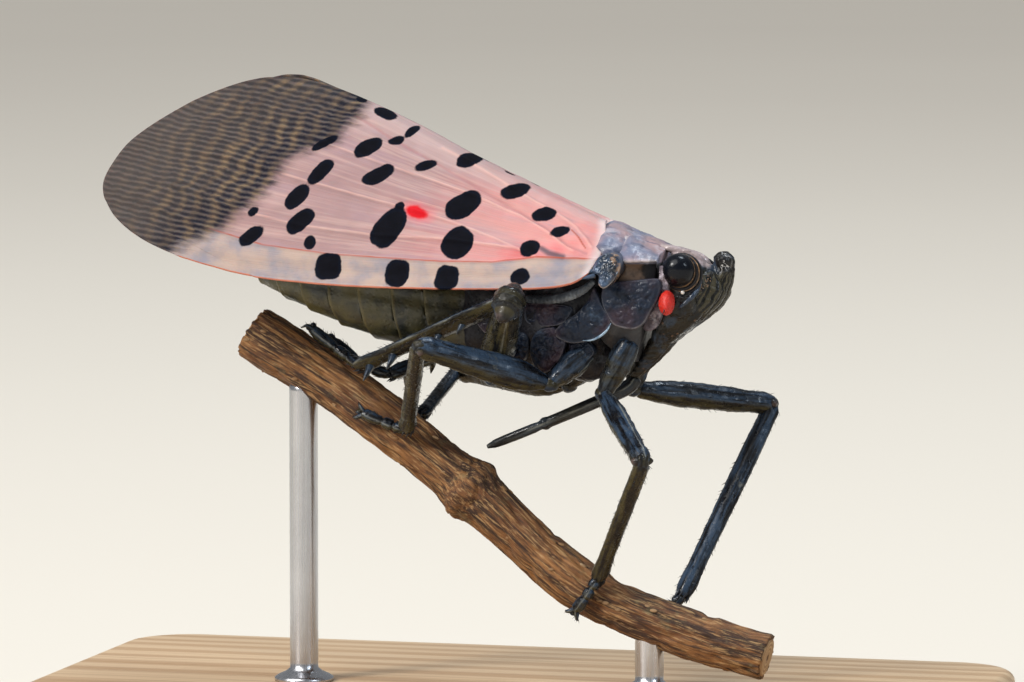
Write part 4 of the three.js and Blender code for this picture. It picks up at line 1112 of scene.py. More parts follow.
def beakShape():
    path = Path([[5.78, 0, 18.95], [5.62, 0, 18.72], [5.15, 0, 18.42], [3.9, 0, 17.85], [1.6, 0, 16.85],
                 [-0.55, 0, 15.95]])
    rows = [[0, 0.3, 0.3], [0.08, 0.33, 0.33], [0.2, 0.28, 0.28], [0.235, 0.22, 0.22], [0.27, 0.27, 0.27],
            [0.59, 0.25, 0.25], [0.62, 0.29, 0.29], [0.65, 0.2, 0.2], [0.7, 0.23, 0.22], [0.94, 0.2, 0.19],
            [1, 0.09, 0.09]]
    groove = lambda angle, share: 1 - 0.22 * bell(angle - math.pi * 1.5, 0.25)
    return limb(path, rows, [0, 1, 0], 120, 28, groove)


blackShell = shellMaterial("blackShell", rgb(0.008, 0.008, 0.01), rgb(0.018, 0.02, 0.026),
                           rgb(0.1, 0.12, 0.15))


# Head shell: black with painted blue-grey glints, olive along the keels, pale in the crinkles of the knob and
# on the crown, whose grey-mauve also paints the highlight on the head's top
def headMaterial():
    material, w, place = newMaterial("headShell", Coat_Weight=0.14, Coat_Roughness=0.14, IOR=1.5,
                                     Specular_IOR_Level=0.22)
    colour = drift(w, place, rgb(0.005, 0.005, 0.006), rgb(0.02, 0.018, 0.014), 900.0)["Color"]
    patches = w.ramp(w.cloud(place, 1500.0, 2.0), 0.45, 0.55)
    spots = w.ramp(w.cells(place, 3200.0), 0.1, 0.24, 1.0, 0.0)
    colour = w.mix(w.times(spots, patches), colour, rgb(0.12, 0.07, 0.045))
    # Painted glints: blue-grey patches of reflected light laid over the black
    blue = w.cloud(w.stretch(place, (1, 1, 0.5), (0.02, 0, 0)), 1100.0, 3.0, 0.6, 0.8)
    colour = w.layers(colour, (rgb(0.03, 0.045, 0.07), blue, 0.52, 0.66, 0.0, 0.8))
    fan = w.timesPlus(w.cloud(place, 700.0, 2.0), 0.1, w.attribute("fan"))
    line = w.ramp(w.math("PINGPONG", fan, 0.034), 0.01, 0.024)
    colour = w.mix(w.attribute("face"), colour, w.mix(line, rgb(0.006, 0.006, 0.005), rgb(0.06, 0.052, 0.03)))
    crinkle = w.math("ABSOLUTE", w.math("SUBTRACT", w.cloud(place, 2600.0, 2.0, 0.5, 1.2), 0.5))
    veins = w.times(w.ramp(crinkle, 0.01, 0.04, 1.0, 0.0), patches)
    colour = w.mix(w.times(veins, w.attribute("knob")), colour, rgb(0.42, 0.4, 0.38))
    # The crown's grey-mauve, partly the head's own tone and partly a painted highlight on its top
    crown = w.mix(w.cloud(place, 1800.0, 4.0), rgb(0.5, 0.4, 0.36), rgb(0.24, 0.19, 0.23))
    colour = w.mix(w.times(w.attribute("crown"), 0.85), colour, crown)
    surface = w.group(shellGrain, Vector=place)
    relief = w.timesPlus(w.times(line, w.attribute("face")), 0.8, surface["Height"])
    return painted(material, colour, w.ramp(surface["Spread"], 0.0, 1.0, 0.22, 0.5),
                   w.bump(relief, 0.6, 0.03))


headShell = headMaterial()
legShell = shellMaterial("legShell", rgb(0.004, 0.004, 0.005), rgb(0.03, 0.034, 0.036),
                         rgb(0.13, 0.13, 0.11), low=0.6, high=0.8, scale=1500.0, alongLimb=True,
                         pitDepth=0.7, rough=(0.24, 0.5))


def eyeMaterial():
    material, w, place = newMaterial("eyeLens", Coat_Weight=0.25, Coat_Roughness=0.08, IOR=1.45,
                                     Specular_IOR_Level=0.12)
    colour = drift(w, place, rgb(0.002, 0.003, 0.006), rgb(0.012, 0.009, 0.009), 700.0, 0.45, 0.7)["Color"]
    return painted(material, colour, w.ramp(w.cloud(place, 2500.0, 4.0), 0.3, 0.7, 0.2, 0.34),
                   w.bump(w.cells(place, 16000.0), 0.35, 0.02))


def bulbMaterial():
    material, w, place = newMaterial("antennaBulb", Coat_Weight=0.2, Coat_Roughness=0.4,
                                     Subsurface_Weight=0.15, Subsurface_Scale=0.0002)
    grains = w.cells(place, 9000.0)
    colour = w.layers(drift(w, place, rgb(0.52, 0.007, 0.001), rgb(0.36, 0.003, 0.0), 1500.0)["Color"],
                      (rgb(0.56, 0.02, 0.002), grains, 0.3, 0.6, 0.0, 0.4))
    return painted(material, colour, w.ramp(grains, 0.0, 0.6, 0.42, 0.6),
                   w.bump(w.math("SUBTRACT", 1.0, grains), 0.4, 0.02))


# Two drifting tones, rougher where the second shows
def plainMaterial(name, first, second, scale, rough, **fixed):
    material, w, place = newMaterial(name, **fixed)
    tones = drift(w, place, first, second, scale)
    return painted(material, tones["Color"], w.ramp(tones["Mask"], 0.0, 1.0, *rough) if rough else None)


pearl = plainMaterial("pearl", rgb(0.75, 0.68, 0.58), rgb(0.5, 0.5, 0.52), 9000.0, (0.12, 0.25),
                      Coat_Weight=1.0, Coat_Roughness=0.05)
rimShell = plainMaterial("eyeRim", rgb(0.3, 0.17, 0.08), rgb(0.06, 0.035, 0.02), 2400.0, (0.35, 0.55),
                         Coat_Weight=0.3)
lens, bulbSkin = eyeMaterial(), bulbMaterial()
lilacShell = shellMaterial("lilacShell", rgb(0.05, 0.035, 0.045), rgb(0.36, 0.31, 0.35),
                           rgb(0.55, 0.5, 0.52), scale=1500.0, rough=(0.4, 0.65), pitDepth=0.3)
# The keel below the ocellus is coloured blue as a painted highlight, the glint of light along it
ridgeGlintShell = shellMaterial("ridgeGlintShell", rgb(0.012, 0.02, 0.036), rgb(0.04, 0.065, 0.11),
                           rgb(0.2, 0.25, 0.33), scale=1900.0, rough=(0.2, 0.4), pitDepth=0.4, coat=0.4)
skullShape = rolled(headShape())
ocelli = [ellipsoid([ocellus["at"][0], s * outermost(skullShape, *ocellus["at"]), ocellus["at"][1]],
                    [ocellus["radius"]] * 3, 20, 14).inMaterial(1) for s in (right, left)]
strips = [rolled(onSide(s, plate(**cheekStrip))).inMaterial(2) for s in (right, left)]
# Path of the keel below the ocellus, which carries the painted blue highlight
sideRidge = [[8.12, 22.12], [8.36, 22.32], [8.62, 22.56], [8.82, 22.86], [8.92, 23.18]]
ridges = [limb(Path([[x, s * (outermost(skullShape, x, z) - 0.01), z] for x, z in sideRidge]),
               [[0, 0.06, 0.05], [0.5, 0.1, 0.07], [1, 0.04]], [0, 0, 1], 44, 16).inMaterial(3)
          for s in (right, left)]
head = finish("head", joined(skullShape, *ocelli, *strips, *ridges),
              [headShell, pearl, lilacShell, ridgeGlintShell], "black_cuticle", "head")
grown(scatterOver, "browGrains", head.data, "black_cuticle", Item=grit, Density=1.6e8, Seed=4, Smallest=0.4,
      Largest=1.1, Mask="cheek", Material=rimShell)
finish("clypeus", clypeusShape(), [headShell], "black_cuticle", "clypeus")
finish("beak", beakShape(), [legShell], "black_cuticle", "beak")
for side in (right, left):
    name = sideName[side]
    finish("eye" + name.title(), rolled(eyeShape(side)), [lens, blackShell, rimShell], "eye_gloss",
           "eye_" + name)
    feeler = finish("antenna" + name.title(), rolled(antennaShape(side)), [bulbSkin, blackShell],
                    "antenna_orange", "antenna_" + name)
    grown(scatterOver, "antennaGrains" + name.title(), feeler.data, "antenna_orange", Item=grit,
          Density=1.5e8, Seed=7, Smallest=0.5, Largest=0.9, Mask="bulb", Material=bulbSkin)
print("head made:", len(skullShape.faces), "faces")


# Trunk
trunk = {
    # [x, z, half width, up, down]
    "barrel": [[-0.75, 21.85, 2.3, 2.1, 2.4], [1.0, 22.0, 2.6, 2.3, 2.8], [2.9, 22.2, 2.62, 2.3, 2.85],
               [4.55, 22.3, 2.35, 2.25, 2.55]],
    # [x, top, half width, drop]
    "midShield": [[2.9, 24.7, 0.55, 0.5], [3.7, 25.04, 1.2, 0.62], [4.4, 25.3, 1.85, 0.72],
                  [4.85, 25.52, 2.2, 0.84], [5.2, 25.47, 2.25, 0.86], [5.8, 25.2, 1.7, 0.8],
                  [6.3, 24.9, 1.0, 0.7]],
    # [x at middle height, top, half width of the back, half width of the flank, bottom]
    "front": [[4.98, 25.2, 2.1, 2.35, 20.6], [5.6, 24.96, 2.2, 2.42, 20.2], [6.3, 24.68, 2.0, 2.24, 19.9],
              [6.7, 24.5, 1.75, 1.98, 19.75]],
    # Height of the keel along the shield's lower edge, and how the front leans
    "lip": 24.0, "lean": 0.26, "leanFrom": 22.3,
}


def barrelShape():
    x = np.linspace(4.75, -0.95, 40)
    sizes = smoothRows(trunk["barrel"], x)
    level, wide, up, down = sizes.T

    def relief(point, normal):
        belt = 0.06 * math.cos((point[0] + 0.25 * point[2]) * 4.2)
        return belt + 0.09 * lumps(point, 0.75, 4) + 0.04 * lumps(point, 0.28, 1)

    return pushed(loft(ovalRings(x, level, wide - 0.12, up - 0.1, down - 0.08, 2.3, 0, 72)), relief)


# The lobe that hangs over the flank of the front thorax
flankPlate = {
    "outline": [[5.1, 23.1], [6.2, 23.22], [7.37, 23.28], [7.47, 23.0], [7.35, 22.5], [7.05, 22.0],
                [6.72, 21.43], [6.35, 21.22], [5.85, 21.26], [5.47, 21.4], [5.2, 21.8], [5.0, 22.3],
                [5.0, 22.7]],
    "y": 2.5, "slope": (-0.07, 0.05), "dome": 0.14, "rim": 0.03, "crease": 0.1, "folds": 3.0, "seed": 1.0,
}
sidePlates = [
    # In front, a large plate with a pale lower rim
    {"outline": [[4.72, 22.95], [5.0, 22.25], [5.4, 21.48], [5.02, 21.02], [4.34, 20.68], [3.55, 20.6],
                 [2.96, 20.95], [3.3, 21.4], [3.95, 21.85], [4.4, 22.35]],
     "y": 2.52, "slope": (-0.05, 0.12), "dome": 0.2, "rim": 0.08, "crease": 0.12, "folds": 2.2, "seed": 3.0},
    # A smaller one behind it, then the one above the hind leg
    {"outline": [[1.62, 22.2], [2.7, 22.22], [3.75, 22.05], [3.45, 21.5], [2.96, 21.28], [1.8, 21.4]],
     "y": 2.5, "slope": (0.0, 0.1), "dome": 0.12, "rim": 0.06, "crease": 0.12, "seed": 5.0},
    {"outline": [[0.0, 22.3], [1.45, 22.3], [1.6, 21.4], [0.9, 20.7], [0.0, 20.9], [-0.45, 21.6]],
     "y": 2.42, "slope": (0.0, 0.1), "dome": 0.14, "rim": 0.05, "crease": 0.1, "seed": 7.0},
    # The socket of the middle leg, and a folded lobe before it
    {"outline": [[2.95, 21.25], [3.42, 20.85], [3.3, 20.2], [2.85, 19.5], [2.3, 19.3], [1.95, 19.8],
                 [1.95, 20.6], [2.3, 21.1]],
     "y": 2.35, "slope": (0.0, 0.2), "dome": 0.16, "rim": 0.05, "crease": 0.16, "folds": 3.2, "seed": 9.0},
    {"outline": [[3.5, 20.65], [4.3, 20.62], [4.55, 20.2], [4.1, 19.8], [3.55, 19.95]],
     "y": 2.05, "slope": (0.0, 0.2), "dome": 0.16, "rim": 0.05, "crease": 0.14, "folds": 4.0, "seed": 10.0},
    {"outline": [[0.6, 20.7], [1.7, 20.95], [1.8, 20.2], [1.3, 19.6], [0.7, 19.9]],
     "y": 2.2, "slope": (0.0, 0.25), "dome": 0.16, "rim": 0.04, "crease": 0.14, "seed": 11.0},
]
# The ribbed ledge below the wing's root, as [x, y, z]
wingLedge = [[1.3, 2.62, 22.44], [2.4, 2.78, 22.4], [3.5, 2.88, 22.52], [4.3, 2.9, 22.84], [4.75, 2.92, 23.2]]


def ledgeShape():
    path = Path([[x, -y, z] for x, y, z in wingLedge])
    rows = [[0, 0.1, 0.1], [0.15, 0.17, 0.15], [0.7, 0.2, 0.17], [1, 0.12, 0.12]]
    knurl = lambda angle, share: 1 + 0.07 * np.cos(share * 130) * (0.6 + 0.4 * np.cos(angle * 3))
    return limb(path, rows, [0, 0.2, 1], 120, 20, knurl)


def shieldShape():
    x = np.linspace(2.8, 6.4, 60)
    sizes = smoothRows(trunk["midShield"], x)
    half = np.linspace(0, 1, 26)
    rings = []
    for place, (top, wide, drop) in zip(x, sizes):
        wide = max(wide, 0.12)
        ridge = 0.05 * bell(half, 0.06) + 0.045 * bell(half - 0.45, 0.05)
        upper = [[wide * s, top - drop * (wide / 2) * s**2 + r - 0.06] for s, r in zip(half, ridge)]
        lower = [[wide * s, top - 0.5 - drop * (wide / 2) * s**2] for s in half[::-1]]
        ring = upper + lower
        rings.append([[place, y, z] for y, z in ring + [[-y, z] for y, z in ring[-2:0:-1]]])
    return pushed(loft(rings), lumpy((0.03, 0.35, 8), (0.012, 0.12, 2)))


def frontShape():
    x = np.linspace(4.9, 6.72, 44)
    sizes = smoothRows(trunk["front"], x)
    rings, edges = [], []
    lip = trunk["lip"]
    for place, (top, back, flank, bottom) in zip(x, sizes):
        fall = top - lip
        half = [[0, top], [back * 0.5, top - 0.2 * fall], [back * 0.84, top - 0.5 * fall],
                [back + 0.05, top - 0.8 * fall], [flank + 0.04, lip], [flank - 0.16, lip - 0.07],
                [flank - 0.36, lip - 0.3], [flank - 0.34, 23.1], [flank - 0.16, 22.6], [flank - 0.12, 22.2],
                [flank - 0.3, 21.1], [1.25, bottom + 0.1], [0, bottom]]
        outline = half + [[-y, z] for y, z in half[-2:0:-1]]
        flat = Path(outline + outline[:1]).at(np.linspace(0, 1, 160, endpoint=False))
        rings.append([[place + (z - trunk["leanFrom"]) * trunk["lean"], y, z] for y, z in flat])
        keel = bell(flat[:, 1] - lip, 0.06)
        onTop = np.clip((flat[:, 1] - lip + 0.1) / 0.08, 0, 1)
        edges.append(np.maximum(keel, bell(place - 5.0, 0.07)) * onTop)

    def relief(point, normal):
        x, y, z = point
        top = climb(z, 24.0, 0.3)
        keel = 0.07 * bell(y, 0.09) * top
        dimples = -0.09 * math.exp(-(((x - 6.2) / 0.28) ** 2 + ((abs(y) - 0.55) / 0.26) ** 2)) * top
        rear = 0.05 * bell(x - trunk["lean"] * (z - trunk["leanFrom"]) - 5.02, 0.07) * top
        arcs = 0.03 * math.cos(5.2 * math.hypot(x - 7.2, y * 0.8) + 0.8) * top
        return keel + dimples + rear + arcs + 0.05 * lumps(point, 0.45, 6) + 0.02 * lumps(point, 0.14, 2)

    return pushed(loft(rings, {"edge": np.array(edges)}), relief)


tegulaSize = {
    "outline": [[4.75, 23.85], [4.95, 24.2], [5.35, 24.38], [5.7, 24.3], [5.9, 24.0], [5.86, 23.6],
                [5.6, 23.15], [5.3, 22.95], [5.1, 23.1], [5.05, 23.45], [4.8, 23.6]],
    "y": 3.05, "slope": (-0.1, -0.55), "dome": 0.34, "rim": 0.07, "crease": 0.2, "folds": 2.0, "seed": 21.0,
    "depth": 1.0,
}
# Folds at the wing's hinge, each from one [x, z] to another on the wing's face
hingeFolds = [[[4.9, 24.02], [3.8, 24.04]], [[4.9, 23.82], [3.9, 23.82]], [[4.88, 23.62], [3.95, 23.56]],
              [[4.85, 23.45], [4.15, 23.3]]]


def tegulaShape():
    folds = []
    for start, end in hingeFolds:
        ends = [onRoof(np.array(x), np.array(z)) - np.array([0, 0.26, 0]) for x, z in (start, end)]
        folds.append(limb(straight(*ends), [[0, 0.11, 0.1], [0.35, 0.08], [1, 0.015, 0.02]],
                          [0, 0, 1], 20, 14))
    return joined(plate(**tegulaSize), *folds)


def abdomenShape():
    rows = [[-10.45, 23.5, 0.95, 0.85, 0.8], [-9.2, 23.3, 1.6, 1.3, 1.3], [-7.6, 22.95, 2.1, 1.75, 1.65],
            [-5.8, 22.55, 2.4, 2.0, 1.95], [-4.0, 22.2, 2.5, 2.15, 2.15], [-2.4, 21.95, 2.4, 2.1, 2.35],
            [-1.05, 21.85, 2.2, 2.05, 2.3]]
    joints = [-0.7, -2.6, -4.0, -5.5, -6.9, -8.2, -9.4, -10.45]
    shares = [0.0, 0.1, 0.22, 0.36, 0.5, 0.64, 0.76, 0.86, 0.93, 0.97, 1.0, 1.005]
    swells = [0.0, 0.02, 0.04, 0.06, 0.08, 0.1, 0.115, 0.13, 0.15, 0.15, 0.09, 0.0]
    near = np.tile(shares, len(joints) - 1)
    extra = np.tile(swells, len(joints) - 1) - 0.06
    x = np.array([front + (rear - front) * share
                  for front, rear in zip(joints, joints[1:]) for share in shares])
    level, wide, up, down = smoothRows(rows, x).T
    rings = ovalRings(x, level, wide + extra, up + extra, down + extra, 2.2, -0.12, 96)

    def relief(point, normal):
        x, _, z = point
        pleura = -0.09 * bell(z - 21.9 - 0.11 * (-x), 0.2) * min(1, abs(normal[1]) * 1.5)
        return pleura + 0.05 * lumps(point, 0.6, 2) + 0.018 * lumps(point, 0.18, 5)

    return pushed(loft(rings, {"ringShare": near[:, None] * np.ones((1, 96))}), relief)


def ovipositorShape():
    rows = [[0, -10.4, 0.34, 0.62], [0.35, -11.05, 0.38, 0.68], [0.7, -11.6, 0.3, 0.52],
            [1, -12.0, 0.14, 0.24]]
    shares = np.linspace(0, 1, 18)
    x, wide, high = smoothRows(rows, shares).T
    rings = ovalRings(x, 23.62 + 0.12 * (-10.7 - x), wide, high, high, 2.3, 0, 36)
    apart = np.zeros((18, 1, 3))
    apart[:, 0, 1] = 0.34 - 0.06 * shares
    halves = [loft(rings + side * apart) for side in (right, left)]
    return pushed(joined(*halves),
                  lambda point, normal: 0.03 * math.sin(point[2] * 16) + 0.025 * lumps(point, 0.25))


thoraxShell = shellMaterial("thoraxShell", rgb(0.008, 0.008, 0.012), rgb(0.026, 0.026, 0.032),
                            rgb(0.15, 0.17, 0.2), low=0.54, high=0.76, scale=700.0, rough=(0.3, 0.62),
                            rim=rgb(0.42, 0.36, 0.3), rimShare=0.75, pitDepth=0.75, depth=0.04)
plateShell = shellMaterial("plateShell", rgb(0.006, 0.012, 0.026), rgb(0.042, 0.022, 0.03),
                           rgb(0.07, 0.12, 0.19), low=0.58, high=0.9, scale=850.0, rough=(0.42, 0.7),
                           rim=rgb(0.26, 0.25, 0.26), rimShare=0.6, pitDepth=0.5, depth=0.03, edged=True)

def greyShieldMaterial():
    material, w, place = newMaterial("greyShield", Coat_Weight=0.1, Sheen_Weight=0.1)
    along, _, height = w.split(place)
    marks = w.ramp(w.cloud(w.stretch(place, (0.55, 1, 1.2)), 1000.0, 5.0, 0.62, 0.8), 0.5, 0.62)
    pale = w.cloud(w.stretch(place, (0.5, 1.4, 1.6), (0.01, 0, 0)), 1300.0, 4.0, 0.6, 0.6)
    colour = drift(w, place, rgb(0.13, 0.145, 0.215), rgb(0.32, 0.2, 0.2), 700.0)["Color"]
    colour = w.mix(w.times(marks, 0.8), colour, rgb(0.04, 0.052, 0.1))
    brown = w.mix(w.ramp(w.cloud(place, 1300.0, 4.0), 0.4, 0.6), rgb(0.2, 0.12, 0.075),
                  rgb(0.014, 0.01, 0.009))
    black = w.mix(w.cloud(place, 1500.0, 4.0), rgb(0.006, 0.006, 0.009), rgb(0.03, 0.03, 0.036))
    # Below the lip the shell is brown, and black in front and further down
    flank = w.layers(brown, (black, along, 0.0066, 0.0069), (black, height, 0.0231, 0.0233, 1.0, 0.0))
    colour = w.layers(colour, (rgb(0.42, 0.4, 0.44), pale, 0.55, 0.68, 0.0, 0.5),
                      (flank, height, 0.02384, 0.02392, 1.0, 0.0))
    colour = w.mix(w.times(w.attribute("edge"), 0.65), colour, rgb(0.5, 0.44, 0.42))
    return shelled(material, w, place, colour, (0.42, 0.66), 0.5, Pits=4200.0)


# Tegula and hinge folds: black, with blue patches painted in as highlights, brown flecks and a paler rim
def tegulaHighlightMaterial():
    material, w, place = newMaterial("tegulaGloss", Coat_Weight=0.4, Coat_Roughness=0.15)
    tones = drift(w, place, rgb(0.004, 0.008, 0.016), rgb(0.035, 0.065, 0.12), 1300.0)
    colour = w.layers(tones["Color"],
                      (rgb(0.34, 0.2, 0.11), w.cloud(place, 1500.0, 4.0), 0.56, 0.68, 0.0, 0.85))
    colour = w.mix(w.times(w.attribute("edge"), 0.8), colour, rgb(0.42, 0.36, 0.32))
    return painted(material, colour, w.ramp(tones["Mask"], 0.0, 1.0, 0.2, 0.42),
                   w.bump(w.cloud(place, 3600.0, 5.0), 0.35, 0.02))


def bellyMaterial():
    material, w, place = newMaterial("bellyRings", Coat_Weight=0.15, Coat_Roughness=0.35)
    wax = w.ramp(w.cloud(place, 1300.0, 5.0, 0.7, 0.5), 0.52, 0.72)
    colour = drift(w, place, rgb(0.008, 0.011, 0.008), rgb(0.07, 0.062, 0.02), 900.0)["Color"]
    colour = w.mix(w.times(wax, 0.5), colour, rgb(0.14, 0.13, 0.08))
    share = w.timesPlus(w.cloud(place, 1100.0, 2.0), 0.12, w.attribute("ringShare"))
    along, _, height = w.split(place)
    bands = w.mix(w.ramp(share, 0.5, 0.66), rgb(0.55, 0.32, 0.03), rgb(0.02, 0.018, 0.015))
    colour = w.layers(colour, (rgb(0.14, 0.11, 0.03), share, 0.93, 1.0, 0.0, 0.45),
                      (bands, w.timesPlus(along, 0.2, height), 0.0229, 0.0233, 0.0, 0.9))
    return shelled(material, w, place, colour, (0.35, 0.62), depth=0.035, Pits=4800.0)


ledgeShell = shellMaterial("ledgeShell", rgb(0.04, 0.048, 0.06), rgb(0.1, 0.11, 0.125),
                           rgb(0.22, 0.24, 0.26), scale=1500.0, low=0.5, high=0.75, rough=(0.4, 0.65),
                           pitDepth=1.0)
greyShield, tegulaGloss, belly = greyShieldMaterial(), tegulaHighlightMaterial(), bellyMaterial()
valveShell = shellMaterial("valveShell", rgb(0.3, 0.02, 0.012), rgb(0.12, 0.012, 0.01), rgb(0.4, 0.2, 0.15),
                           scale=1400.0, rim=rgb(0.5, 0.12, 0.08))
sternum = pushed(ellipsoid([3.7, 0, 20.0], [1.5, 0.95, 1.2], 64, 40), lumpy((0.08, 0.6, 4), (0.02, 0.16, 8)))
thoraxParts, frontParts = [barrelShape(), sternum], [frontShape()]
for side in (right, left):
    thoraxParts += [onSide(side, plate(**size)).inMaterial(1) for size in sidePlates]
    thoraxParts.append(onSide(side, ledgeShape()).inMaterial(2))
    frontParts.append(onSide(side, plate(**flankPlate)).inMaterial(1))
# A painted highlight: the pale blue edge of the front side plate, a glint laid on as a thin bead
glintShell = shellMaterial("glintShell", rgb(0.03, 0.06, 0.11), rgb(0.12, 0.2, 0.3), rgb(0.3, 0.4, 0.5),
                           low=0.4, high=0.6, scale=2400.0, rough=(0.25, 0.45), pitDepth=0.4, coat=0.3)
flanks = joined(*thoraxParts)
glint = [[4.2, 20.72], [4.55, 20.74], [4.92, 20.91], [5.22, 21.17], [5.4, 21.46]]
for side in (right, left):
    line = Path([[x, side * (outermost(flanks, x, z, 0.14) - 0.01), z] for x, z in glint])
    thoraxParts.append(limb(line, [[0, 0.02], [0.6, 0.055, 0.05], [1, 0.02]],
                            [0, 0, 1], 40, 14).inMaterial(3))
finish("thorax", joined(*thoraxParts), [thoraxShell, plateShell, ledgeShell, glintShell], "black_cuticle",
       "thorax")
finish("pronotum", joined(*frontParts), [greyShield, plateShell], "shield_grey", "pronotum")
finish("mesonotum", shieldShape(), [greyShield], "shield_grey", "mesonotum")
finish("abdomen", abdomenShape(), [belly], "belly_olive", "abdomen")
finish("ovipositor", ovipositorShape(), [valveShell], "valve_red", "ovipositor")
for side in (right, left):
    finish("tegula" + sideName[side].title(), onSide(side, tegulaShape()), [tegulaGloss], "shield_grey",
           "tegula_" + sideName[side])
print("trunk made")


# Vine and the way the feet lie beside it
vine = {
    "line": [[-10.8, 0.1, 20.5], [-6.55, 0, 18.0], [-1.35, 0.15, 14.1], [3.6, 0, 10.15], [7.9, 0.1, 8.4],
             [11.4, 0, 7.5]],
    "rear": 1.12, "front": 0.95, "node": 0.44, "swell": 0.3, "reach": 0.022,
}
vineLine = Path(vine["line"])


def vineRadius(share):
    taper = vine["rear"] + (vine["front"] - vine["rear"]) * share
    swelling = vine["swell"] * np.exp(-(((share - vine["node"]) / vine["reach"]) ** 2))
    return taper + swelling + 0.03 * np.sin(share * 31)


# Clear is the distance from the bark; angle 0 is straight up from the vine and 90 towards -Y
def besideVine(x, angle, clear):
    share = np.interp(x, vineLine.points[:, 0], vineLine.travel) / vineLine.length
    tangent = vineLine.along(share)
    side = unit(np.array([0, -1, 0]) + tangent * tangent[1])
    up = unit(np.cross(side, tangent))
    turn = math.radians(angle)
    return vineLine.at(share) + (up * math.cos(turn) + side * math.sin(turn)) * (vineRadius(share) + clear)


# Legs
onBark = 0.4
legs = {
    "foreleg_right": {"side": right, "hip": [5.75, -1.55, 20.3], "turn": [4.85, -1.65, 18.45],
                      "knee": [7.62, -6.1, 16.15], "ankle": [4.08, 53, 0.58],
                      "foot": [[4.02, 84], [3.9, 120]], "femur": "thin"},
    "foreleg_left": {"side": left, "hip": [5.75, 1.55, 20.3], "turn": [5.3, 1.65, 18.35],
                     "knee": [10.45, 5.4, 17.5], "ankle": [7.15, -47, 0.72],
                     "foot": [[6.85, -64], [6.2, -92]], "femur": "thin", "shin": 1.35},
    "midleg_right": {"side": right, "hip": [3.9, -1.85, 19.95], "turn": [2.79, -2.55, 18.88],
                     "knee": [-1.8, -6.2, 20.68], "ankle": [-4.1, 66, 0.62],
                     "foot": [[-4.5, 74], [-5.6, 88]], "femur": "stout"},
    "midleg_left": {"side": left, "hip": [3.9, 1.85, 19.95], "turn": [2.34, 2.3, 18.4],
                    "knee": [-3.4, 5.6, 18.6], "ankle": [-4.3, -62, 0.62],
                    "foot": [[-4.7, -74], [-5.7, -92]], "femur": "stout"},
    "hindleg_right": {"side": right, "hip": [0.75, -1.5, 19.7], "turn": [0.15, -1.85, 19.0],
                      "knee": [1.9, -5.6, 22.6], "ankle": [-6.6, 38, 0.88],
                      "foot": [[-7.3, 20], [-8.9, 8]], "femur": "broad", "spines": 5, "shin": 2.1,
                      "knob": 2.2},
    "hindleg_left": {"side": left, "hip": [0.75, 1.5, 19.7], "turn": [0.4, 1.8, 19.0],
                     "knee": [1.2, 5.4, 21.6], "ankle": [-5.95, -44, 0.85],
                     "foot": [[-6.6, -34], [-8.2, -26]], "femur": "broad", "spines": 5, "shin": 1.4,
                     "knob": 1.6},
}
femurRows = {
    "broad": [[0, 0.22, 0.24], [0.06, 0.4, 0.42], [0.25, 0.62, 0.7], [0.6, 0.6, 0.68], [0.86, 0.52, 0.58],
              [0.93, 0.52, 0.55], [1, 0.36, 0.4]],
    "stout": [[0, 0.2, 0.18], [0.06, 0.36, 0.32], [0.25, 0.66, 0.5], [0.6, 0.58, 0.46], [0.86, 0.48, 0.4],
              [0.93, 0.5, 0.42], [1, 0.34, 0.32]],
    "thin": [[0, 0.22, 0.2], [0.06, 0.36, 0.32], [0.3, 0.54, 0.48], [0.7, 0.52, 0.46], [0.86, 0.46, 0.4],
             [0.93, 0.48, 0.42], [1, 0.32, 0.3]],
}
tibiaRows = [[0, 0.22, 0.22], [0.03, 0.34, 0.32], [0.08, 0.33, 0.3], [0.3, 0.34, 0.3], [0.85, 0.33, 0.3],
             [0.95, 0.38, 0.34], [1, 0.28, 0.27]]
# How much of a shin's extra width it has at each share of its length
shinSwell = [[0, 0.12, 0.35, 1], [0.25, 0.9, 0.9, 0.4]]
tarsusRows = [[0, 0.17], [0.08, 0.24], [0.25, 0.24], [0.31, 0.15], [0.36, 0.23], [0.52, 0.23], [0.57, 0.15],
              [0.62, 0.21], [0.9, 0.25], [1, 0.18]]


# A four-edged section, whose corners lie along the limb's own directions; power 2 is round
def edged(angle, power):
    return (np.abs(np.cos(angle)) ** power + np.abs(np.sin(angle)) ** power) ** (-1 / power)


def femurShape(size, start, end, ankle):
    forward = unit(end - start)
    ridges = lambda angle, share: (edged(angle, 1.5 + 0.5 * np.clip((share - 0.8) * 5, 0, 1))
                                   + 0.02 * np.cos(7 * angle + 1) + 0.012 * np.cos(angle * 3 + share * 30))
    body = limb(straight(start, end), femurRows[size["femur"]], [0.1, 0, 1], 70, 32, ridges)
    body = pushed(body, lumpy((0.03, 0.3, 4), (0.012, 0.11, 8)))
    sideways = unit(np.cross(forward, ankle - end))
    knob = size.get("knob", 1.0)
    hollow = end - forward * 0.1 * knob

    # The joint is hollowed on each side inside a swollen rim
    def kneeRelief(point, normal):
        reach = np.linalg.norm((point - hollow) - sideways * ((point - hollow) @ sideways)) / knob
        hollowed = -0.12 * bell(reach, 0.12) + 0.04 * bell(reach - 0.2, 0.05) - 0.04
        sunk = hollowed * abs(normal @ sideways) * knob
        return sunk + 0.05 * lumps(point, 0.34, 1) + 0.025 * lumps(point, 0.14, 6)

    knee = pushed(ellipsoid(hollow, np.full(3, 0.31) * knob, 64, 40), kneeRelief)
    centred = (knee.points - hollow) / knob
    reach = np.linalg.norm(centred - (centred @ sideways)[:, None] * sideways, axis=1)
    knee.values["recess"] = np.clip((0.2 - reach) * 9, 0, 1)
    knee.values["grain"] = np.stack([centred @ forward, centred @ sideways, np.full(len(centred), 0.5)], -1)
    return joined(body, knee)


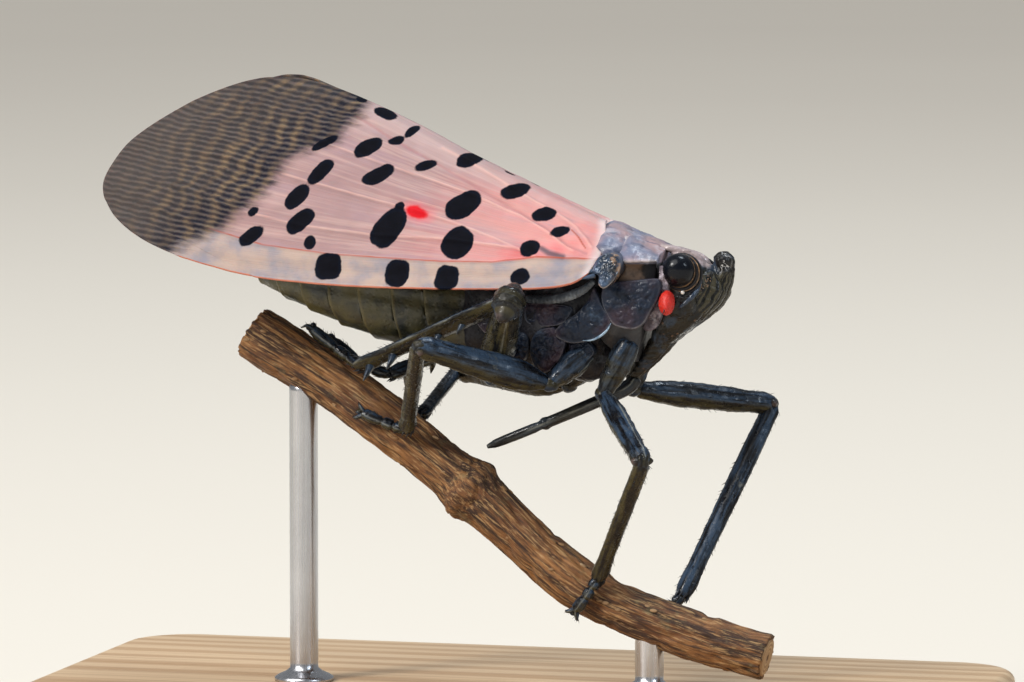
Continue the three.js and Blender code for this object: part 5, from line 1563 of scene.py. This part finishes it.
def tibiaShape(size, start, end):
    flutes = lambda angle, share: edged(angle, 1.45) + 0.02 * np.cos(11 * angle)
    fuller = size.get("shin", 1.0) - 1
    rows = [[share, wide * (1 + fuller * np.interp(share, *shinSwell)), deep]
            for share, wide, deep in tibiaRows]
    shin = limb(straight(start, end), rows, [1, 0, 0.2], 80, 32, flutes)
    shin = pushed(shin, lumpy((0.018, 0.22, 4), (0.01, 0.09, 8)))
    along, outward = unit(end - start), unit([0.1, size["side"] * 0.75, -0.6])
    spines = []
    for k in range(size.get("spines", 0)):
        root = start + (end - start) * (0.3 + 0.62 * k / 4)
        reach = 0.72 + 0.09 * k
        path = Path([root, root + outward * reach * 0.5 + along * 0.1, root + outward * reach + along * 0.34])
        spines.append(limb(path, [[0, 0.26], [0.4, 0.17], [0.8, 0.075], [1, 0.02]], [1, 0, 0], 16, 12))
    return joined(shin, *spines)


# The crown of spurs at the end of a shin: how many, the ring they stand on, how far it lies from the end
spurs = {"count": 10, "ring": 0.27, "back": 0.06, "lean": 4.0}
spur = repeatedItem("spur", cone([0, 0, -0.05], [0, 0, 0.3], 0.06, 0.012, 7, 4))


def spurRing(start, end):
    along, across = unit(end - start), np.array([1, 0, 0.2])
    side = unit(across - along * (along @ across))
    depth = np.cross(along, side)
    return [end + (side * math.cos(a) + depth * math.sin(a)) * spurs["ring"] - along * spurs["back"]
            for a in np.linspace(0, 2 * math.pi, 25)]


def tarsusShape(points, bark):
    path = Path(points)
    toes = pushed(limb(path, tarsusRows, [0, 1, 0], 90, 24), lumpy((0.02, 0.16, 4)))
    end, onward = path.at(0.95), path.along(0.999)
    away = unit(end - bark)
    spread = unit(np.cross(onward, away))
    claws = []
    for way in (-1, 1):
        tip = end + onward * 0.46 + spread * way * 0.34 - away * 0.12
        bend = end + onward * 0.3 + spread * way * 0.26 + away * 0.1
        claws.append(limb(Path([end, bend, tip]), [[0, 0.14], [0.5, 0.09], [1, 0.02]], away, 18, 12))
    pad = ellipsoid(end + onward * 0.26 - away * 0.02, [0.16, 0.16, 0.12], 20, 12)
    return joined(toes, pad, *claws)


def coxaShape(hip, turn):
    rows = [[0, 0.45, 0.5], [0.3, 0.55, 0.58], [0.7, 0.46], [0.88, 0.36], [1, 0.3]]
    body = limb(straight(hip - unit(turn - hip) * 0.3, turn), rows, [1, 0, 0], 40, 32,
                lambda angle, share: 1 + 0.08 * np.cos(3 * angle + 1) * (1 - share))
    knuckle = ellipsoid(turn, [0.36, 0.36, 0.34], 28, 18)
    return pushed(joined(body, knuckle), lumpy((0.05, 0.4, 4), (0.02, 0.13, 8)))


def pieceName(node):
    words = node.split("_")
    return words[0] + "".join(word.title() for word in words[1:])


# Hairs for each square metre of a part, and how much they lie down along it
hairLean = 1.4
hairDensity = {"coxa": 0.0, "femur": 6e6, "tibia": 11e6, "tarsus": 22e6}
for name, size in legs.items():
    hip, turn, knee = (np.array(size[key], float) for key in ("hip", "turn", "knee"))
    ankle = besideVine(*size["ankle"])
    toes = [ankle] + [besideVine(x, angle, onBark) for x, angle in size["foot"]]
    underFoot = besideVine(size["foot"][-1][0], 0, -0.95)
    down = {"femur": knee - turn, "tibia": ankle - knee, "tarsus": toes[-1] - ankle}
    made = {"coxa": coxaShape(hip, turn), "femur": femurShape(size, turn, knee, ankle),
            "tibia": tibiaShape(size, knee, ankle), "tarsus": tarsusShape(toes, underFoot)}
    for part, shape in made.items():
        node = name + "_" + part
        # How far each point faces up and to the front, towards the light; the limb's colour paints its blue
        # sheen there
        shape.values["upper"] = pointNormals(shape) @ np.array([0.4, -0.2, 0.9])
        piece = finish(pieceName(node), shape, [legShell], "black_cuticle", node)
        if hairDensity[part]:
            grown(scatterOver, pieceName(node) + "Hairs", piece.data, "black_cuticle", Item=hair, Seed=3,
                  Density=hairDensity[part], Smallest=0.35, Largest=0.85,
                  Lean=tuple(unit(down[part]) * hairLean), Mask="hairy", Material=blackShell)
    grown(rowAlong, pieceName(name) + "Spurs", pathMesh([spurRing(knee, ankle)]), "black_cuticle",
          Item=spur, Count=spurs["count"], Seed=5, Smallest=0.8, Largest=1.1,
          Lean=tuple(unit(ankle - knee) * spurs["lean"]), Material=blackShell)
print("legs made:", len(legs))


def vineShape():
    shares = np.linspace(0, 1, 420)
    centres, tangents = vineLine.at(shares), vineLine.along(shares)
    side = unit(np.array([0, 1, 0]) - tangents * tangents[:, 1:2])
    depth = np.cross(tangents, side)
    angle, radius = turns(72)[None], vineRadius(shares)[:, None]
    wide, deep = np.cos(angle) * radius, np.sin(angle) * radius
    rings = centres[:, None] + side[:, None] * wide[..., None] + depth[:, None] * deep[..., None]
    run = (shares * vineLine.length)[:, None] * np.ones((1, 72))
    stem = loft(rings, {"grain": np.stack([run, wide, deep], -1)})
    lifts = []
    for along, a, b in stem.values["grain"]:
        fissure = noise.noise(Vector((along * 0.5, a * 2.6, b * 2.6)))
        fine = noise.noise(Vector((along * 1.6, a * 6, b * 6)))
        lifts.append(-0.11 * max(0, 0.25 - abs(fissure)) / 0.25 + 0.035 * fine + 0.04)
    return stem.reshaped(stem.points + pointNormals(stem) * np.array(lifts)[:, None])


def barkMaterial():
    material, w, place = newMaterial("vineBark")
    grain = w.attribute("grain", "Vector")
    strands = w.strands(grain, (0.3, 3.2, 3.2), (0, 0, 0), 8.0, 0.72, 0.3)
    fibres = w.strands(grain, (0.9, 12.0, 12.0), (3, 0, 0), 4.0, 0.7, 0.2)
    colour = w.layers(
        drift(w, place, rgb(0.12, 0.04, 0.008), rgb(0.26, 0.11, 0.028), 520.0)["Color"],
        (rgb(0.03, 0.011, 0.004), strands, 0.42, 0.58), (rgb(0.4, 0.24, 0.1), fibres, 0.52, 0.64, 0.0, 0.75),
        (rgb(0.028, 0.012, 0.005), fibres, 0.36, 0.46, 0.7, 0.0),
        (rgb(0.17, 0.15, 0.07), w.cloud(place, 900.0, 5.0, 0.7), 0.56, 0.74, 0.0, 0.5),
    )
    return painted(material, colour, w.ramp(strands, 0.3, 0.7, 0.55, 0.85),
                   w.bump(w.timesPlus(fibres, 0.45, strands), 0.9, 0.11))


def cutWoodMaterial():
    material, w, place = newMaterial("cutWood", Roughness=0.8)
    reach = w.split(w.attribute("grain", "Vector"))[1]
    rings = w.ramp(w.math("PINGPONG", w.timesPlus(w.cloud(place, 700.0), 0.1, reach), 0.09), 0.0, 0.09)
    colour = w.layers(w.mix(rings, rgb(0.5, 0.34, 0.18), rgb(0.3, 0.17, 0.08)),
                      (rgb(0.12, 0.06, 0.03), reach, 0.12, 0.17, 1.0, 0.0))
    return painted(material, colour, relief=w.bump(rings, 0.4, 0.03))


# A flat cut face just outside each end of the stem, with a shallow pith
def cutFace(share, way):
    centre, along = vineLine.at(share), vineLine.along(share) * way
    side = unit(np.array([0, 1, 0]) - along * along[1])
    depth = np.cross(along, side)
    turn = turns(48)
    rings, reach = [], []
    for radius, out in ((0.86, -0.1), (0.86, 0.03), (0.8, 0.06), (0.4, 0.06), (0.14, 0.05), (0.08, 0.02)):
        r = radius * float(vineRadius(share))
        rings.append(centre + along * out + side * (np.cos(turn) * r)[:, None]
                     + depth * (np.sin(turn) * r)[:, None])
        reach.append(np.stack([np.zeros(48), np.full(48, r), np.zeros(48)], -1))
    return loft(rings, {"grain": np.array(reach)})


# What is left of a leaf's stalk at the node
stub = {"share": 0.435, "toward": [-0.3, 1.75, -1.35], "root": 0.62, "tip": 0.42}


def stubShape():
    start = vineLine.at(stub["share"])
    root, tip = stub["root"], stub["tip"]
    rows = [[0, root], [0.55, tip], [0.9, tip + 0.03, tip], [1, tip - 0.02]]
    stalk = limb(straight(start, start + unit(stub["toward"]) * 2.2), rows, [1, 0, 0], 40, 28, dome=0.25)
    return pushed(stalk, lumpy((0.05, 0.4, 3), (0.03, 0.15, 5)))


stem = vineShape()
stem.values["pores"] = np.ones(len(stem.points))
stemParts = joined(stem, stubShape(), cutFace(0.0, -1).inMaterial(1), cutFace(1.0, 1).inMaterial(1))
vinePiece = finish("vine", stemParts, [barkMaterial(), cutWoodMaterial()], "vine_bark", "perch_stem")
poreTone = shellMaterial("barkPores", rgb(0.2, 0.11, 0.05), rgb(0.3, 0.19, 0.1), rgb(0.42, 0.32, 0.2),
                         scale=1500.0, rough=(0.6, 0.85), coat=0.0)
grown(scatterOver, "barkPores", vinePiece.data, "vine_bark", Item=pore, Density=4.5e5, Seed=11,
      Smallest=0.5, Largest=1.2, Mask="pores", Material=poreTone)
print("vine made")


# Stand
stand = {"length": 40.0, "width": 26.0, "height": 5.8, "corner": 3.0, "bevel": 0.5, "rod": 0.6,
         "front": 6.4, "rear": -8.6}


def baseShape():
    s = stand
    bevel, height = s["bevel"], s["height"]
    arc = [[bevel * (1 - math.cos(a)), bevel * (1 - math.sin(a))]
           for a in (math.pi / 2 * k / 6 for k in range(7))]
    rings = []
    for inset, z in arc[::-1] + [[inset, height - z] for inset, z in arc]:
        ring = []
        for cx, cy, start in ((1, 1, 0), (-1, 1, 90), (-1, -1, 180), (1, -1, 270)):
            for step in range(13):
                a = math.radians(start + 90 * step / 12)
                r = s["corner"] - inset
                ring.append([cx * (s["length"] / 2 - s["corner"]) + r * math.cos(a),
                             cy * (s["width"] / 2 - s["corner"]) + r * math.sin(a), z])
        rings.append(ring)
    return loft(rings)


# A rod with a flanged foot, its top inside the stem
def rodShape(x):
    under = besideVine(x, 180, -0.1)
    bottom, top = stand["height"], under[2] + 0.15
    profile = [[0, 1.25], [0.16, 1.25], [0.26, 1.1], [0.4, 0.78], [0.55, stand["rod"]]]
    levels = [(bottom + h, r) for h, r in profile]
    levels += [(z, stand["rod"]) for z in np.linspace(bottom + 0.8, top, 30)]
    angle = turns(48)
    return loft([np.stack([x + r * np.cos(angle), under[1] + r * np.sin(angle), np.full(48, z)], -1)
                 for z, r in levels])


def woodMaterial():
    material, w, place = newMaterial("paleWood", Coat_Weight=0.15, Coat_Roughness=0.3)
    inputs = {"Vector": w.stretch(place, (30.0, 420.0, 420.0), (0, 2.0, 6.5)), "Scale": 0.9,
              "Distortion": 3.5, "Detail": 3.0, "Detail Scale": 0.8}
    bands = w.fed("ShaderNodeTexWave", inputs, wave_type="RINGS", rings_direction="X")["Fac"]
    fibres = w.strands(place, (60.0, 3000.0, 3000.0), (0, 0, 0), 4.0)
    colour = w.layers(rgb(0.62, 0.43, 0.25), (rgb(0.46, 0.28, 0.14), bands, 0.2, 0.9),
                      (rgb(0.33, 0.19, 0.09), fibres, 0.5, 0.7, 0.0, 0.5),
                      (rgb(0.7, 0.52, 0.33), w.cloud(place, 60.0, 2.0), 0.3, 0.7, 0.0, 0.25))
    return painted(material, colour, w.ramp(fibres, 0.3, 0.7, 0.38, 0.55), w.bump(fibres, 0.25, 0.04))


def steelMaterial():
    material, w, place = newMaterial("brushedSteel", Metallic=1.0)
    brushed = w.strands(place, (9000.0, 9000.0, 90.0))
    colour = drift(w, place, rgb(0.6, 0.6, 0.62), rgb(0.5, 0.5, 0.52), 200.0)["Color"]
    return painted(material, colour, w.ramp(brushed, 0.3, 0.7, 0.2, 0.34), w.bump(brushed, 0.15, 0.01))


wood, steel = woodMaterial(), steelMaterial()
finish("standBase", baseShape(), [wood], "base_wood", "stand_base")
finish("standRodFront", rodShape(stand["front"]), [steel], "rod_steel", "stand_rod_front")
finish("standRodRear", rodShape(stand["rear"]), [steel], "rod_steel", "stand_rod_rear")
print("stand made")


# Floor, lights and the camera
studio = {
    # Target and distance of the camera in millimetres, then the floor in metres
    "target": (0.5, 0.0, 20.4), "azimuth": 15.0, "elevation": 5.0, "distance": 250.0, "lens": 210.9,
    "floor": 4.0, "sun": 1.5, "sunWidth": 40, "sunTurn": (42, 0, -28),
    "sky": rgb(0.82, 0.86, 0.9), "skyStrength": 0.33,
}
# Lights as name, place, size, energy and colour
softLights = [
    ("key", (-0.3, -0.38, 0.3), 0.15, 2.4, (1.0, 0.97, 0.93)),
    ("fill", (0.42, -0.25, 0.3), 0.14, 0.6, (0.75, 0.87, 1.0)),
    ("top", (0.1, 0.1, 0.5), 0.14, 1.1, (0.8, 0.9, 1.0)),
]


def placed(name, data, where, turn=(0, 0, 0)):
    thing = bpy.data.objects.new(name, data)
    thing.location, thing.rotation_euler = where, turn
    bpy.context.scene.collection.objects.link(thing)
    return thing


def addFloor():
    half = studio["floor"] / 2
    mesh = bpy.data.meshes.new("floor")
    mesh.from_pydata([(-half, -half, 0), (half, -half, 0), (half, half, 0), (-half, half, 0)], [],
                     [(0, 1, 2, 3)])
    mesh.materials.append(plainMaterial("paleFloor", rgb(0.72, 0.66, 0.57), rgb(0.7, 0.64, 0.553), 1.5,
                                        None, Roughness=0.9))
    floor = placed("floor", mesh, (0, 0, 0))


def softLight(name, place, size, energy, colour):
    data = bpy.data.lights.new(name, "AREA")
    data.shape, data.size, data.energy, data.color = "DISK", size, energy, colour
    aim = Vector(studio["target"]) * millimetre - Vector(place)
    placed(name, data, place, aim.to_track_quat("-Z", "Y").to_euler())


def addSun():
    data = bpy.data.lights.new("softSun", "SUN")
    data.energy, data.angle = studio["sun"], math.radians(studio["sunWidth"])
    placed("softSun", data, (0, 0, 0), [math.radians(angle) for angle in studio["sunTurn"]])


def addWorld():
    world = bpy.data.worlds.new("studio")
    world.use_nodes = True
    sky = world.node_tree.nodes["Background"].inputs
    sky["Color"].default_value, sky["Strength"].default_value = studio["sky"], studio["skyStrength"]
    bpy.context.scene.world = world


def addCamera():
    turn, lift = math.radians(studio["azimuth"]), math.radians(studio["elevation"])
    back = Vector((math.sin(turn) * math.cos(lift), -math.cos(turn) * math.cos(lift), math.sin(lift)))
    data = bpy.data.cameras.new("camera")
    data.lens, data.sensor_width = studio["lens"], 36.0
    data.clip_start, data.clip_end = 0.005, 20.0
    where = (Vector(studio["target"]) + back * studio["distance"]) * millimetre
    bpy.context.scene.camera = placed("camera", data, where, (-back).to_track_quat("-Z", "Y").to_euler())


addFloor()
bpy.context.scene.view_settings.view_transform = "Standard"
for light in softLights:
    softLight(*light)
addSun()
addWorld()
addCamera()

# The small things have grown, so their originals go
for item in items:
    bpy.data.objects.remove(item)
